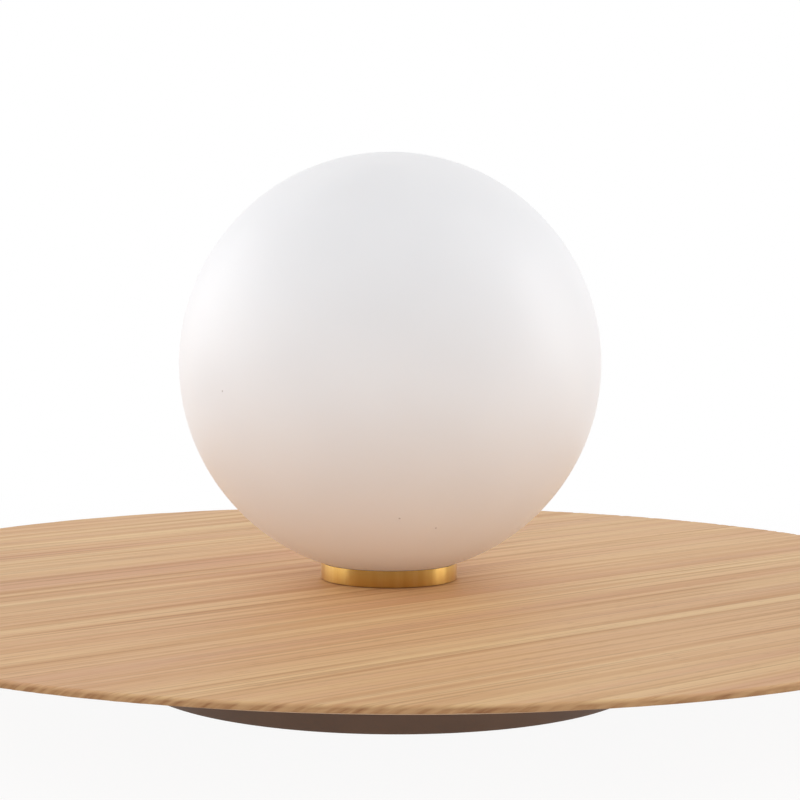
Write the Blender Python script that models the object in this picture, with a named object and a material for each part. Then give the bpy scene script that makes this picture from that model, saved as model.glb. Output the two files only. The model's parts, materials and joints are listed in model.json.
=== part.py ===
"""Flush wall lamp: opal globe in a brass cup, on a wood disc over a canopy pan.

Metres. +Z is the lamp's axis, away from the wall. The wall plane is z = 0.
"""

from math import asin, ceil, cos, pi, radians, sin, sqrt, tan

import bmesh
import bpy
from mathutils import Matrix, Vector

# Clearances
SEAT_GAP = 0.0003
HOLE_CLEARANCE = 0.0003
CUT_OVERRUN = 0.002
TRIM_MARGIN = 0.0003
MERGE_DISTANCE = 0.0000003

# Roundness
GLOBE_SEGMENTS = 48
GLOBE_RINGS = 20
GLOBE_INNER_RINGS = 10
DISC_SEGMENTS = 96
CANOPY_SEGMENTS = 56
CUP_SEGMENTS = 40
RING_SEGMENTS = 32
MEDIUM_SEGMENTS = 24
SMALL_SEGMENTS = 12
TINY_SEGMENTS = 10
FILLET_STEPS = 3
EDGE_STEPS = 2
DOME_STEPS = 5
SMOOTH_ANGLE = radians(35)

# Wood disc: a board that is bevelled from behind to a thin lip
DISC_RADIUS = 0.210
DISC_THICKNESS = 0.006
DISC_LIP = 0.0022
DISC_BEVEL_WIDTH = 0.016
DISC_EDGE_ROUND = 0.0008
DISC_FRONT_Z = 0.036

# Canopy pan
CANOPY_RADIUS = 0.090
CANOPY_WALL = 0.0012
CANOPY_SHOULDER = 0.005

# Globe cup: its ring stands on the disc, its barrel goes down through it
COLLAR_RADIUS = 0.0245
COLLAR_HEIGHT = 0.0056
COLLAR_EDGE_ROUND = 0.0005
CUP_BARREL_WALL = 0.0022
CUP_FLOOR = 0.0015

# Opal globe
GLOBE_RADIUS = 0.075
GLOBE_WALL = 0.003
NECK_RADIUS = 0.0196
NECK_WALL = 0.003
NECK_FLOOR_GAP = 0.0009
NECK_SHOULDER_ROUND = 0.0009
NECK_MOUTH_ROUND = 0.0006

# Seal ring between glass and brass
SEAL_THICKNESS = 0.0018
SEAL_SIDES = 6

# Threaded nipple with its nuts and washer
NIPPLE_RADIUS = 0.005
NIPPLE_BORE = 0.0035
NIPPLE_TAIL = 0.001
NUT_FLATS = 0.0135
NUT_HEIGHT = 0.003
NUT_CHAMFER = 0.0004
WASHER_RADIUS = 0.0095
WASHER_THICKNESS = 0.0012

# Lampholder on its bracket
HOLDER_BRACKET_SHEET = 0.0012
HOLDER_BRACKET_HEIGHT = 0.0125
HOLDER_BRACKET_WIDTH = 0.014
HOLDER_BRACKET_FOOT = 0.0165
HOLDER_BRACKET_REACH = 0.0275
HOLDER_BRACKET_BEND = 0.0006
HOLDER_BODY_LENGTH = 0.018
HOLDER_BODY_WIDTH = 0.012
HOLDER_BODY_HEIGHT = 0.020
HOLDER_FLANGE_HEIGHT = 0.003
HOLDER_ROUND = 0.0015
HOLDER_SCREW_SPAN = 0.0227
HOLDER_SCREW_RADIUS = 0.0012
HOLDER_SCREW_HEAD = 0.0020
HOLDER_SCREW_HEAD_HEIGHT = 0.0013
HOLDER_SCREW_LENGTH = 0.0055
CONTACT_RADIUS = 0.0015
CONTACT_WALL = 0.0005
CONTACT_LENGTH = 0.008
CONTACT_HEIGHT = 0.003

# Plug-in bulb
PIN_SPAN = 0.009
PIN_RADIUS = 0.0007
PIN_LENGTH = 0.0115
BULB_RADIUS = 0.008
BULB_BASE_HEIGHT = 0.009
BULB_BASE_FOOT_LENGTH = 0.0135
BULB_BASE_FOOT_WIDTH = 0.006
BULB_BASE_FOOT_HEIGHT = 0.003
BULB_COVER_HEIGHT = 0.038
BULB_COVER_WALL = 0.001
BULB_BOARD_RADIUS = 0.0055
BULB_BOARD_SIDES = 6
BULB_BOARD_HEIGHT = 0.029

# Wall bracket: a strap folded up at both ends
STRAP_SHEET = 0.0015
STRAP_WIDTH = 0.032
STRAP_BEND = 0.0025
STRAP_WAIST_START = 0.046
EAR_WIDTH = 0.014
EAR_HEIGHT = 0.015
EAR_WALL_GAP = 0.0009
EAR_CORNER_ROUND = 0.003
CABLE_HOLE_RADIUS = 0.010
SLOT_START = 0.050
SLOT_LENGTH = 0.022
SLOT_WIDTH = 0.0052

# Screws that lock the canopy to the bracket's ears
LOCK_SCREW_HEIGHT = 0.009
LOCK_SCREW_RADIUS = 0.0016
LOCK_SCREW_HEAD = 0.0036
LOCK_SCREW_HEAD_HEIGHT = 0.0022
LOCK_SCREW_LENGTH = 0.0072
LOCK_WASHER_RADIUS = 0.0040
LOCK_WASHER_THICKNESS = 0.0008

# Terminal block on the bracket
BLOCK_START = 0.0215
BLOCK_LENGTH = 0.022
BLOCK_HEIGHT = 0.014
POLE_COUNT = 3
POLE_PITCH = 0.009
POLE_BORE = 0.0017
POLE_HEIGHT = 0.006
POLE_WAIST = 0.0012
BLOCK_ROUND = 0.001
TERMINAL_SCREW_RADIUS = 0.0015
TERMINAL_SCREW_LENGTH = 0.004
TERMINAL_SCREW_SPAN = 0.012
TERMINAL_SCREW_SINK = 0.0012
BLOCK_SCREW_RADIUS = 0.0012
BLOCK_SCREW_HEAD = 0.0021
BLOCK_SCREW_HEAD_HEIGHT = 0.0013

# Screws from inside the canopy into the disc
DISC_SCREW_COUNT = 3
DISC_SCREW_CIRCLE = 0.060
DISC_SCREW_RADIUS = 0.0015
DISC_SCREW_HEAD = 0.0033
DISC_SCREW_HEAD_HEIGHT = 0.0018
DISC_SCREW_BITE = 0.004

# Earth tag and screw on the canopy
EARTH_X = -0.026
EARTH_TAG_RADIUS = 0.0036
EARTH_TAG_SHEET = 0.0008
EARTH_TAG_LENGTH = 0.009
EARTH_TAG_WIDTH = 0.003
EARTH_SCREW_RADIUS = 0.0016
EARTH_SCREW_HEAD = 0.0031
EARTH_SCREW_HEAD_HEIGHT = 0.0018

# Internal leads
LEAD_RADIUS = 0.0009
LEAD_PITCH = 0.0024
LEAD_END_INSET = 0.004
LEAD_STEP = 0.004
LEAD_FAN_SHARES = (1 / 3, 0.9)
EARTH_BOW_SHARE = 1.1

# Screw slots and points, as shares of the screw's own sizes
SLOT_SHARE = 0.22
SLOT_DEPTH_SHARE = 0.45
DOME_SHARE = 0.33
CAPSULE_ROUND_SHARE = 0.999

# Heights that follow from the stack
DISC_BACK_Z = DISC_FRONT_Z - DISC_THICKNESS
CANOPY_TOP_Z = DISC_BACK_Z - SEAT_GAP
CANOPY_CEILING_Z = CANOPY_TOP_Z - CANOPY_WALL
COLLAR_FOOT_Z = DISC_FRONT_Z + SEAT_GAP
COLLAR_TOP_Z = COLLAR_FOOT_Z + COLLAR_HEIGHT
CUP_FOOT_Z = CANOPY_TOP_Z + SEAT_GAP
CUP_FLOOR_Z = CUP_FOOT_Z + CUP_FLOOR
CUP_BORE = NECK_RADIUS + 2 * HOLE_CLEARANCE
CUP_BARREL_RADIUS = CUP_BORE + CUP_BARREL_WALL
GLOBE_CENTRE_Z = COLLAR_TOP_Z + SEAT_GAP + sqrt(GLOBE_RADIUS**2 - COLLAR_RADIUS**2)
NECK_FOOT_Z = CUP_FLOOR_Z + NECK_FLOOR_GAP
SEAL_MIDDLE = NECK_RADIUS + NECK_SHOULDER_ROUND + SEAT_GAP + SEAL_THICKNESS / 2
SEAL_REACH = GLOBE_RADIUS + SEAT_GAP + SEAL_THICKNESS / 2
SEAL_Z = GLOBE_CENTRE_Z - sqrt(SEAL_REACH**2 - SEAL_MIDDLE**2)
HOLDER_BRACKET_Z = CUP_FLOOR_Z + SEAT_GAP
CUP_NUT_Z = HOLDER_BRACKET_Z + HOLDER_BRACKET_SHEET + SEAT_GAP
WASHER_Z = CANOPY_CEILING_Z - SEAT_GAP - WASHER_THICKNESS
CANOPY_NUT_Z = WASHER_Z - SEAT_GAP - NUT_HEIGHT
NIPPLE_FOOT_Z = CANOPY_NUT_Z - NIPPLE_TAIL
NIPPLE_TOP_Z = CUP_NUT_Z + NUT_HEIGHT + NIPPLE_TAIL
HOLDER_Z = HOLDER_BRACKET_Z + HOLDER_BRACKET_HEIGHT + SEAT_GAP
HOLDER_TOP_Z = HOLDER_Z + HOLDER_BODY_HEIGHT
BULB_Z = HOLDER_TOP_Z + SEAT_GAP
BULB_COVER_Z = BULB_Z + BULB_BASE_FOOT_HEIGHT + BULB_BASE_HEIGHT + SEAT_GAP
BLOCK_Z = STRAP_SHEET + SEAT_GAP
POLE_Z = BLOCK_Z + POLE_HEIGHT
BLOCK_MIDDLE_X = BLOCK_START + BLOCK_LENGTH / 2
EAR_OUTER_X = CANOPY_RADIUS - CANOPY_WALL - EAR_WALL_GAP


def clear_scene():
    for thing in list(bpy.data.objects):
        bpy.data.objects.remove(thing, do_unlink=True)


def finish_of(name, colour, roughness, metallic=0.0, transmission=0.0):
    """A Principled material; the colour is linear red, green, blue."""
    material = bpy.data.materials.new(name)
    material.use_nodes = True
    shader = material.node_tree.nodes["Principled BSDF"]
    shader.inputs["Base Color"].default_value = (*colour, 1.0)
    shader.inputs["Roughness"].default_value = roughness
    shader.inputs["Metallic"].default_value = metallic
    shader.inputs["Transmission Weight"].default_value = transmission
    material.diffuse_color = (*colour, 1.0)
    return material


def make_materials():
    return {
        "opal": finish_of("opal_glass", (0.88, 0.86, 0.84), 0.35, transmission=0.2),
        "brass": finish_of("brushed_brass", (0.70, 0.45, 0.18), 0.30, metallic=1.0),
        "wood": finish_of("oak", (0.62, 0.40, 0.23), 0.55),
        "canopy": finish_of("taupe_powder_coat", (0.11, 0.07, 0.045), 0.50, metallic=0.2),
        "steel": finish_of("zinc_plated_steel", (0.55, 0.56, 0.57), 0.35, metallic=1.0),
        "ceramic": finish_of("steatite", (0.80, 0.78, 0.72), 0.45),
        "plastic": finish_of("white_plastic", (0.78, 0.78, 0.75), 0.45),
        "silicone": finish_of("silicone", (0.75, 0.75, 0.73), 0.60),
        "lead_brown": finish_of("brown_sleeve", (0.16, 0.07, 0.03), 0.50),
        "lead_blue": finish_of("blue_sleeve", (0.03, 0.12, 0.42), 0.50),
        "lead_green": finish_of("green_sleeve", (0.16, 0.38, 0.04), 0.50),
    }


def place_object(name, data, material):
    thing = bpy.data.objects.new(name, data)
    bpy.context.scene.collection.objects.link(thing)
    data.materials.append(material)
    return thing


def mesh_object(name, mesh_builder, material):
    mesh = bpy.data.meshes.new(name)
    bmesh.ops.recalc_face_normals(mesh_builder, faces=mesh_builder.faces)
    mesh_builder.to_mesh(mesh)
    mesh_builder.free()
    mesh.shade_smooth()
    mesh.set_sharp_from_angle(angle=SMOOTH_ANGLE)
    return place_object(name, mesh, material)


def rounded_outline(corners, steps=FILLET_STEPS):
    """Corners (across, up, fillet radius) as points, each fillet drawn as an arc."""
    points = []
    for index, (across, up, radius) in enumerate(corners):
        here = Vector((across, up))
        if radius == 0:
            points.append(here)
            continue
        before = (Vector(corners[index - 1][:2]) - here).normalized()
        after = (Vector(corners[(index + 1) % len(corners)][:2]) - here).normalized()
        half_angle = before.angle(after) / 2
        reach = radius / tan(half_angle)
        centre = here + (before + after).normalized() * radius / sin(half_angle)
        first = here + before * reach - centre
        last = here + after * reach - centre
        for step in range(steps + 1):
            spoke = first.lerp(last, step / steps).normalized()
            points.append(centre + spoke * radius)
    return points


def arc_points(centre_up, radius, start, stop, steps):
    """Points on a circle round the axis' point centre_up; angles are taken from the axis."""
    turns = [start + (stop - start) * step / steps for step in range(steps + 1)]
    return [Vector((radius * sin(turn), centre_up + radius * cos(turn))) for turn in turns]


def spin_outline(points, segments):
    """A turned body. An outline that starts and ends on the axis stays open there."""
    builder = bmesh.new()
    ring = [builder.verts.new((point.x, 0, point.y)) for point in points]
    on_axis = points[0].x == 0 and points[-1].x == 0
    pairs = list(zip(ring, ring[1:])) + ([] if on_axis else [(ring[-1], ring[0])])
    edges = [builder.edges.new(pair) for pair in pairs]
    bmesh.ops.spin(
        builder,
        geom=ring + edges,
        cent=(0, 0, 0),
        axis=(0, 0, 1),
        angle=2 * pi,
        steps=segments,
    )
    bmesh.ops.remove_doubles(builder, verts=builder.verts, dist=MERGE_DISTANCE)
    return builder


def turned(name, corners, segments, material, steps=FILLET_STEPS):
    """A turned piece from corners (radius, height, fillet)."""
    outline = rounded_outline(corners, steps)
    return mesh_object(name, spin_outline(outline, segments), material)


def extruded(name, corners, depth, material, steps=FILLET_STEPS):
    """A plate of that depth, its outline in X and Y, from z = 0 upwards."""
    builder = bmesh.new()
    points = rounded_outline(corners, steps)
    face = builder.faces.new([builder.verts.new((p.x, p.y, 0)) for p in points])
    grown = bmesh.ops.extrude_face_region(builder, geom=[face])
    top = [item for item in grown["geom"] if isinstance(item, bmesh.types.BMVert)]
    bmesh.ops.translate(builder, verts=top, vec=(0, 0, depth))
    return mesh_object(name, builder, material)


def rectangle(length, width, fillet):
    half_length, half_width = length / 2, width / 2
    return [
        (half_length, half_width, fillet),
        (-half_length, half_width, fillet),
        (-half_length, -half_width, fillet),
        (half_length, -half_width, fillet),
    ]


def capsule(length, width):
    """A slot's outline, with round ends."""
    return rectangle(length, width, width / 2 * CAPSULE_ROUND_SHARE)


def rod(name, radius, length, material, segments=SMALL_SEGMENTS):
    corners = [(0, 0, 0), (radius, 0, 0), (radius, length, 0), (0, length, 0)]
    return turned(name, corners, segments, material)


def combine(target, other, operation):
    """Adds the other object's shape to the target as a Boolean, and hides the other."""
    other.hide_render = True
    other.display_type = "WIRE"
    modifier = target.modifiers.new(other.name, "BOOLEAN")
    modifier.operation = operation
    modifier.object = other
    return target


def drill(target, place, radius, depth, direction=Vector((0, 0, 1)), segments=SMALL_SEGMENTS):
    """Cuts a round hole that starts at place and goes along direction."""
    cutter = rod(f"{target.name}_drill", radius, depth, target.active_material, segments)
    cutter.location = place
    cutter.rotation_euler = direction.to_track_quat("Z", "Y").to_euler()
    return combine(target, cutter, "DIFFERENCE")


def screw(name, radius, length, head_radius, head_height, material):
    """A slotted dome-head screw: head below z = 0, shank upwards."""
    dome = head_radius * DOME_SHARE
    corners = [
        (0, -head_height, 0),
        (head_radius - dome, -head_height, 0),
        (head_radius, -head_height + dome, 0),
        (head_radius, 0, 0),
        (radius, 0, 0),
        (radius, length - radius / 2, 0),
        (radius / 2, length, 0),
        (0, length, 0),
    ]
    piece = turned(name, corners, SMALL_SEGMENTS, material)
    slot_depth = head_height * SLOT_DEPTH_SHARE
    slot_length = 2 * (head_radius + CUT_OVERRUN)
    slot = rectangle(slot_length, 2 * head_radius * SLOT_SHARE, 0)
    cutter = extruded(f"{name}_slot", slot, slot_depth + CUT_OVERRUN, material)
    cutter.location.z = -head_height - CUT_OVERRUN
    cutter.parent = piece
    return combine(piece, cutter, "DIFFERENCE")


def point_along(piece, place, direction):
    """Puts a piece at a place with its +Z along a direction."""
    piece.location = place
    piece.rotation_euler = Vector(direction).to_track_quat("Z", "Y").to_euler()
    return piece


def sphere_seat(radius):
    """Height of the globe's outside at that distance from the axis, on its lower side."""
    return GLOBE_CENTRE_Z - sqrt(GLOBE_RADIUS**2 - radius**2)


def make_globe(material):
    """The opal globe: an open shell whose shoulder turns down into the neck."""
    inner_radius = GLOBE_RADIUS - GLOBE_WALL
    neck_inner = NECK_RADIUS - NECK_WALL
    shoulder_radius = NECK_RADIUS + NECK_SHOULDER_ROUND
    outer_stop = pi - asin(shoulder_radius / GLOBE_RADIUS)
    inner_stop = pi - asin((neck_inner + NECK_SHOULDER_ROUND) / inner_radius)
    outer = arc_points(GLOBE_CENTRE_Z, GLOBE_RADIUS, 0, outer_stop, GLOBE_RINGS)
    inner = arc_points(GLOBE_CENTRE_Z, inner_radius, 0, inner_stop, GLOBE_INNER_RINGS)
    outer[0].x = inner[0].x = 0
    neck_top_z = sphere_seat(NECK_RADIUS) - NECK_SHOULDER_ROUND
    throat_z = inner[-1].y - NECK_SHOULDER_ROUND
    neck = rounded_outline(
        [
            (NECK_RADIUS, neck_top_z, 0),
            (NECK_RADIUS, NECK_FOOT_Z, NECK_MOUTH_ROUND),
            (neck_inner, NECK_FOOT_Z, NECK_MOUTH_ROUND),
            (neck_inner, throat_z, 0),
        ],
        EDGE_STEPS,
    )
    outline = outer + neck + inner[::-1]
    return mesh_object("globe", spin_outline(outline, GLOBE_SEGMENTS), material)


def make_seal_ring(material):
    """A round silicone ring that lies in the cup's rebate under the globe's shoulder."""
    section = SEAL_THICKNESS / 2
    turns = [2 * pi * side / SEAL_SIDES for side in range(SEAL_SIDES)]
    outline = [
        Vector((SEAL_MIDDLE + section * cos(turn), SEAL_Z + section * sin(turn)))
        for turn in turns
    ]
    return mesh_object("globe_seal_ring", spin_outline(outline, RING_SEGMENTS), material)


def make_globe_cup(material):
    """The brass cup: collar ring on the disc, barrel through it, floor for the nipple."""
    rebate_floor = SEAL_Z - SEAL_THICKNESS / 2 - SEAT_GAP
    rebate_radius = SEAL_MIDDLE + SEAL_THICKNESS / 2 + SEAT_GAP
    corners = [
        (NIPPLE_RADIUS + HOLE_CLEARANCE, CUP_FOOT_Z, 0),
        (CUP_BARREL_RADIUS, CUP_FOOT_Z, 0),
        (CUP_BARREL_RADIUS, COLLAR_FOOT_Z, 0),
        (COLLAR_RADIUS, COLLAR_FOOT_Z, 0),
        (COLLAR_RADIUS, COLLAR_TOP_Z, COLLAR_EDGE_ROUND),
        (rebate_radius, sphere_seat(rebate_radius) - SEAT_GAP, 0),
        (rebate_radius, rebate_floor, 0),
        (CUP_BORE, rebate_floor, 0),
        (CUP_BORE, CUP_FLOOR_Z, 0),
        (NIPPLE_RADIUS + HOLE_CLEARANCE, CUP_FLOOR_Z, 0),
    ]
    return turned("globe_cup", corners, CUP_SEGMENTS, material, EDGE_STEPS)


def disc_screw_places():
    """Places round the axis for the screws that hold the disc."""
    turns = [pi / 2 + 2 * pi * n / DISC_SCREW_COUNT for n in range(DISC_SCREW_COUNT)]
    return [DISC_SCREW_CIRCLE * Vector((cos(turn), sin(turn), 0)) for turn in turns]


def make_wood_disc(material):
    """The board, bevelled from behind so that it shows as a thin edge."""
    hole = CUP_BARREL_RADIUS + HOLE_CLEARANCE
    corners = [
        (hole, DISC_BACK_Z, 0),
        (DISC_RADIUS - DISC_BEVEL_WIDTH, DISC_BACK_Z, 0),
        (DISC_RADIUS, DISC_FRONT_Z - DISC_LIP, DISC_EDGE_ROUND),
        (DISC_RADIUS, DISC_FRONT_Z, DISC_EDGE_ROUND),
        (hole, DISC_FRONT_Z, 0),
    ]
    disc = turned("wood_disc", corners, DISC_SEGMENTS, material, EDGE_STEPS)
    pilot = DISC_SCREW_RADIUS + HOLE_CLEARANCE
    depth = CUT_OVERRUN + DISC_SCREW_BITE + SEAT_GAP
    for place in disc_screw_places():
        start = place + Vector((0, 0, DISC_BACK_Z - CUT_OVERRUN))
        drill(disc, start, pilot, depth, segments=TINY_SEGMENTS)
    return disc


def make_canopy(material):
    """The pan: a drawn steel shell, open at the back."""
    hole = NIPPLE_RADIUS + HOLE_CLEARANCE
    inner = CANOPY_RADIUS - CANOPY_WALL
    corners = [
        (hole, CANOPY_CEILING_Z, 0),
        (inner, CANOPY_CEILING_Z, CANOPY_SHOULDER - CANOPY_WALL),
        (inner, 0, 0),
        (CANOPY_RADIUS, 0, 0),
        (CANOPY_RADIUS, CANOPY_TOP_Z, CANOPY_SHOULDER),
        (hole, CANOPY_TOP_Z, 0),
    ]
    canopy = turned("canopy", corners, CANOPY_SEGMENTS, material)
    through = CANOPY_WALL + 2 * CUT_OVERRUN
    below = CANOPY_CEILING_Z - CUT_OVERRUN
    for place in disc_screw_places():
        start = place + Vector((0, 0, below))
        drill(canopy, start, DISC_SCREW_RADIUS + HOLE_CLEARANCE, through, segments=TINY_SEGMENTS)
    earth = Vector((EARTH_X, 0, below))
    drill(canopy, earth, EARTH_SCREW_RADIUS + HOLE_CLEARANCE, through, segments=TINY_SEGMENTS)
    for side in (-1, 1):
        start = Vector((side * (inner - CUT_OVERRUN), 0, LOCK_SCREW_HEIGHT))
        radius = LOCK_SCREW_RADIUS + HOLE_CLEARANCE
        drill(canopy, start, radius, through, Vector((side, 0, 0)), TINY_SEGMENTS)
    return canopy


def make_disc_screws(material):
    for number, place in enumerate(disc_screw_places(), start=1):
        length = DISC_SCREW_BITE + DISC_BACK_Z - CANOPY_CEILING_Z + SEAT_GAP
        piece = screw(
            f"disc_screw_{number}",
            DISC_SCREW_RADIUS,
            length,
            DISC_SCREW_HEAD,
            DISC_SCREW_HEAD_HEIGHT,
            material,
        )
        piece.location = place + Vector((0, 0, CANOPY_CEILING_Z - SEAT_GAP))


def hexagon(flats):
    """A hexagon's corners, from its width across the flats."""
    radius = flats / 2 / cos(pi / 6)
    return [(radius * cos(pi / 3 * n), radius * sin(pi / 3 * n), 0) for n in range(6)]


def make_nut(name, height, material):
    """A hexagon nut with a chamfer at its corners."""
    nut = extruded(name, hexagon(NUT_FLATS), NUT_HEIGHT, material)
    corner = NUT_FLATS / 2 / cos(pi / 6)
    face_radius = corner - NUT_CHAMFER
    cone = [
        (0, -CUT_OVERRUN, 0),
        (face_radius - CUT_OVERRUN, -CUT_OVERRUN, 0),
        (face_radius + NUT_HEIGHT / 2, NUT_HEIGHT / 2, 0),
        (face_radius - CUT_OVERRUN, NUT_HEIGHT + CUT_OVERRUN, 0),
        (0, NUT_HEIGHT + CUT_OVERRUN, 0),
    ]
    combine(nut, turned(f"{name}_cone", cone, CUP_SEGMENTS, material), "INTERSECT")
    nut.modifiers[-1].object.parent = nut
    bore = rod(f"{name}_bore", NIPPLE_RADIUS + HOLE_CLEARANCE, NUT_HEIGHT + 2 * CUT_OVERRUN, material)
    bore.location.z = -CUT_OVERRUN
    bore.parent = nut
    combine(nut, bore, "DIFFERENCE")
    nut.location.z = height
    return nut


def ring(name, inner, outer, low, high, segments, material):
    corners = [(inner, low, 0), (outer, low, 0), (outer, high, 0), (inner, high, 0)]
    return turned(name, corners, segments, material)


def make_nipple_stack(material):
    """The hollow threaded rod that clamps cup, disc and canopy, with nuts and washer."""
    sides = MEDIUM_SEGMENTS
    ring("threaded_nipple", NIPPLE_BORE, NIPPLE_RADIUS, NIPPLE_FOOT_Z, NIPPLE_TOP_Z, sides, material)
    hole = NIPPLE_RADIUS + HOLE_CLEARANCE
    top = WASHER_Z + WASHER_THICKNESS
    ring("canopy_washer", hole, WASHER_RADIUS, WASHER_Z, top, sides, material)
    make_nut("canopy_nut", CANOPY_NUT_Z, material)
    make_nut("cup_nut", CUP_NUT_Z, material)


def make_holder_bracket(material):
    """A hat-shaped strip: foot under the nut, two legs, two flanges for the lampholder."""
    sheet = HOLDER_BRACKET_SHEET
    foot, reach, height = HOLDER_BRACKET_FOOT / 2, HOLDER_BRACKET_REACH / 2, HOLDER_BRACKET_HEIGHT
    tight, wide = HOLDER_BRACKET_BEND, HOLDER_BRACKET_BEND + sheet
    right = [
        (foot + sheet, 0, wide),
        (foot + sheet, height - sheet, tight),
        (reach, height - sheet, 0),
        (reach, height, 0),
        (foot, height, wide),
        (foot, sheet, tight),
    ]
    corners = right + [(-across, up, fillet) for across, up, fillet in right[::-1]]
    strip = extruded("holder_bracket", corners, HOLDER_BRACKET_WIDTH, material)
    strip.rotation_euler.x = pi / 2
    strip.location = (0, HOLDER_BRACKET_WIDTH / 2, HOLDER_BRACKET_Z)
    start = Vector((0, 0, HOLDER_BRACKET_Z - CUT_OVERRUN))
    drill(strip, start, NIPPLE_RADIUS + HOLE_CLEARANCE, sheet + 2 * CUT_OVERRUN)
    for side in (-1, 1):
        place = (side * HOLDER_SCREW_SPAN / 2, 0, HOLDER_Z - 2 * CUT_OVERRUN - sheet)
        radius = HOLDER_SCREW_RADIUS + HOLE_CLEARANCE
        depth = sheet + 3 * CUT_OVERRUN
        drill(strip, Vector(place), radius, depth, segments=TINY_SEGMENTS)
    return strip


def make_lampholder(material):
    """The ceramic body on its flange, with two bores for the bulb's pins."""
    flange_length = HOLDER_BRACKET_REACH
    body = extruded(
        "lampholder",
        rectangle(flange_length, HOLDER_BODY_WIDTH, HOLDER_ROUND),
        HOLDER_FLANGE_HEIGHT,
        material,
        EDGE_STEPS,
    )
    body.location.z = HOLDER_Z
    block = extruded(
        "lampholder_block",
        rectangle(HOLDER_BODY_LENGTH, HOLDER_BODY_WIDTH - HOLDER_ROUND / 2, HOLDER_ROUND),
        HOLDER_BODY_HEIGHT - HOLDER_FLANGE_HEIGHT / 2,
        material,
        EDGE_STEPS,
    )
    block.location.z = HOLDER_Z + HOLDER_FLANGE_HEIGHT / 2
    combine(body, block, "UNION")
    for side in (-1, 1):
        pin = Vector((side * PIN_SPAN / 2, 0, HOLDER_Z - CUT_OVERRUN))
        depth = HOLDER_BODY_HEIGHT + 2 * CUT_OVERRUN
        drill(body, pin, CONTACT_RADIUS + HOLE_CLEARANCE, depth)
        fixing = Vector((side * HOLDER_SCREW_SPAN / 2, 0, HOLDER_Z - CUT_OVERRUN))
        depth = HOLDER_FLANGE_HEIGHT + 2 * CUT_OVERRUN
        radius = HOLDER_SCREW_RADIUS + HOLE_CLEARANCE
        drill(body, fixing, radius, depth, segments=TINY_SEGMENTS)
    return body


def make_holder_parts(steel, brass):
    """Contact sleeves in the lampholder, and the screws that hold it."""
    for side, word in ((-1, "left"), (1, "right")):
        low = HOLDER_Z + CONTACT_HEIGHT
        sleeve = ring(
            f"holder_contact_{word}",
            CONTACT_RADIUS - CONTACT_WALL,
            CONTACT_RADIUS,
            low,
            low + CONTACT_LENGTH,
            SMALL_SEGMENTS,
            brass,
        )
        sleeve.location.x = side * PIN_SPAN / 2
        piece = screw(
            f"holder_screw_{word}",
            HOLDER_SCREW_RADIUS,
            HOLDER_SCREW_LENGTH,
            HOLDER_SCREW_HEAD,
            HOLDER_SCREW_HEAD_HEIGHT,
            steel,
        )
        top = HOLDER_Z + HOLDER_FLANGE_HEIGHT + SEAT_GAP
        place = (side * HOLDER_SCREW_SPAN / 2, 0, top)
        point_along(piece, place, (0, 0, -1))


def make_bulb(plastic, steel, silicone):
    """The plug-in bulb: stepped base, light board, cover and two pins."""
    foot = rectangle(BULB_BASE_FOOT_LENGTH, BULB_BASE_FOOT_WIDTH, HOLDER_ROUND)
    foot_height = BULB_BASE_FOOT_HEIGHT + HOLDER_ROUND
    base = extruded("bulb_base", foot, foot_height, plastic, EDGE_STEPS)
    base.location.z = BULB_Z
    barrel_z = BULB_Z + BULB_BASE_FOOT_HEIGHT
    barrel = [
        (0, barrel_z, 0),
        (BULB_RADIUS, barrel_z, HOLDER_ROUND),
        (BULB_RADIUS, barrel_z + BULB_BASE_HEIGHT, 0),
        (0, barrel_z + BULB_BASE_HEIGHT, 0),
    ]
    combine(base, turned("bulb_base_barrel", barrel, MEDIUM_SEGMENTS, plastic), "UNION")
    cover_top = BULB_COVER_Z + BULB_COVER_HEIGHT
    inside = BULB_RADIUS - BULB_COVER_WALL
    outer = arc_points(cover_top - BULB_RADIUS, BULB_RADIUS, 0, pi / 2, DOME_STEPS)
    inner = arc_points(cover_top - BULB_RADIUS, inside, 0, pi / 2, DOME_STEPS)
    outer[0].x = inner[0].x = 0
    rim = [Vector((BULB_RADIUS, BULB_COVER_Z)), Vector((inside, BULB_COVER_Z))]
    outline = outer + rim + inner[::-1]
    mesh_object("bulb_cover", spin_outline(outline, MEDIUM_SEGMENTS), silicone)
    board = rod("bulb_board", BULB_BOARD_RADIUS, BULB_BOARD_HEIGHT, plastic, BULB_BOARD_SIDES)
    board.location.z = BULB_COVER_Z
    for side, word in ((-1, "left"), (1, "right")):
        pin = rod(f"bulb_pin_{word}", PIN_RADIUS, PIN_LENGTH, steel, TINY_SEGMENTS)
        pin.location = (side * PIN_SPAN / 2, 0, BULB_Z - SEAT_GAP - PIN_LENGTH)


def make_ear_outline(material):
    """The strap's outline seen along X: its full width, and the ears with round corners."""
    half_ear, half_strap = EAR_WIDTH / 2 + TRIM_MARGIN, STRAP_WIDTH / 2 + CUT_OVERRUN
    shoulder = STRAP_SHEET + STRAP_BEND
    right = [
        (half_strap, -CUT_OVERRUN, 0),
        (half_strap, shoulder, 0),
        (half_ear, shoulder, 0),
        (half_ear, EAR_HEIGHT - TRIM_MARGIN, EAR_CORNER_ROUND),
    ]
    corners = right + [(-across, up, fillet) for across, up, fillet in right[::-1]]
    length = 2 * (EAR_OUTER_X + CUT_OVERRUN)
    outline = extruded("wall_bracket_ears", corners, length, material)
    outline.rotation_euler = (pi / 2, 0, pi / 2)
    outline.location.x = -length / 2
    return outline


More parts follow.
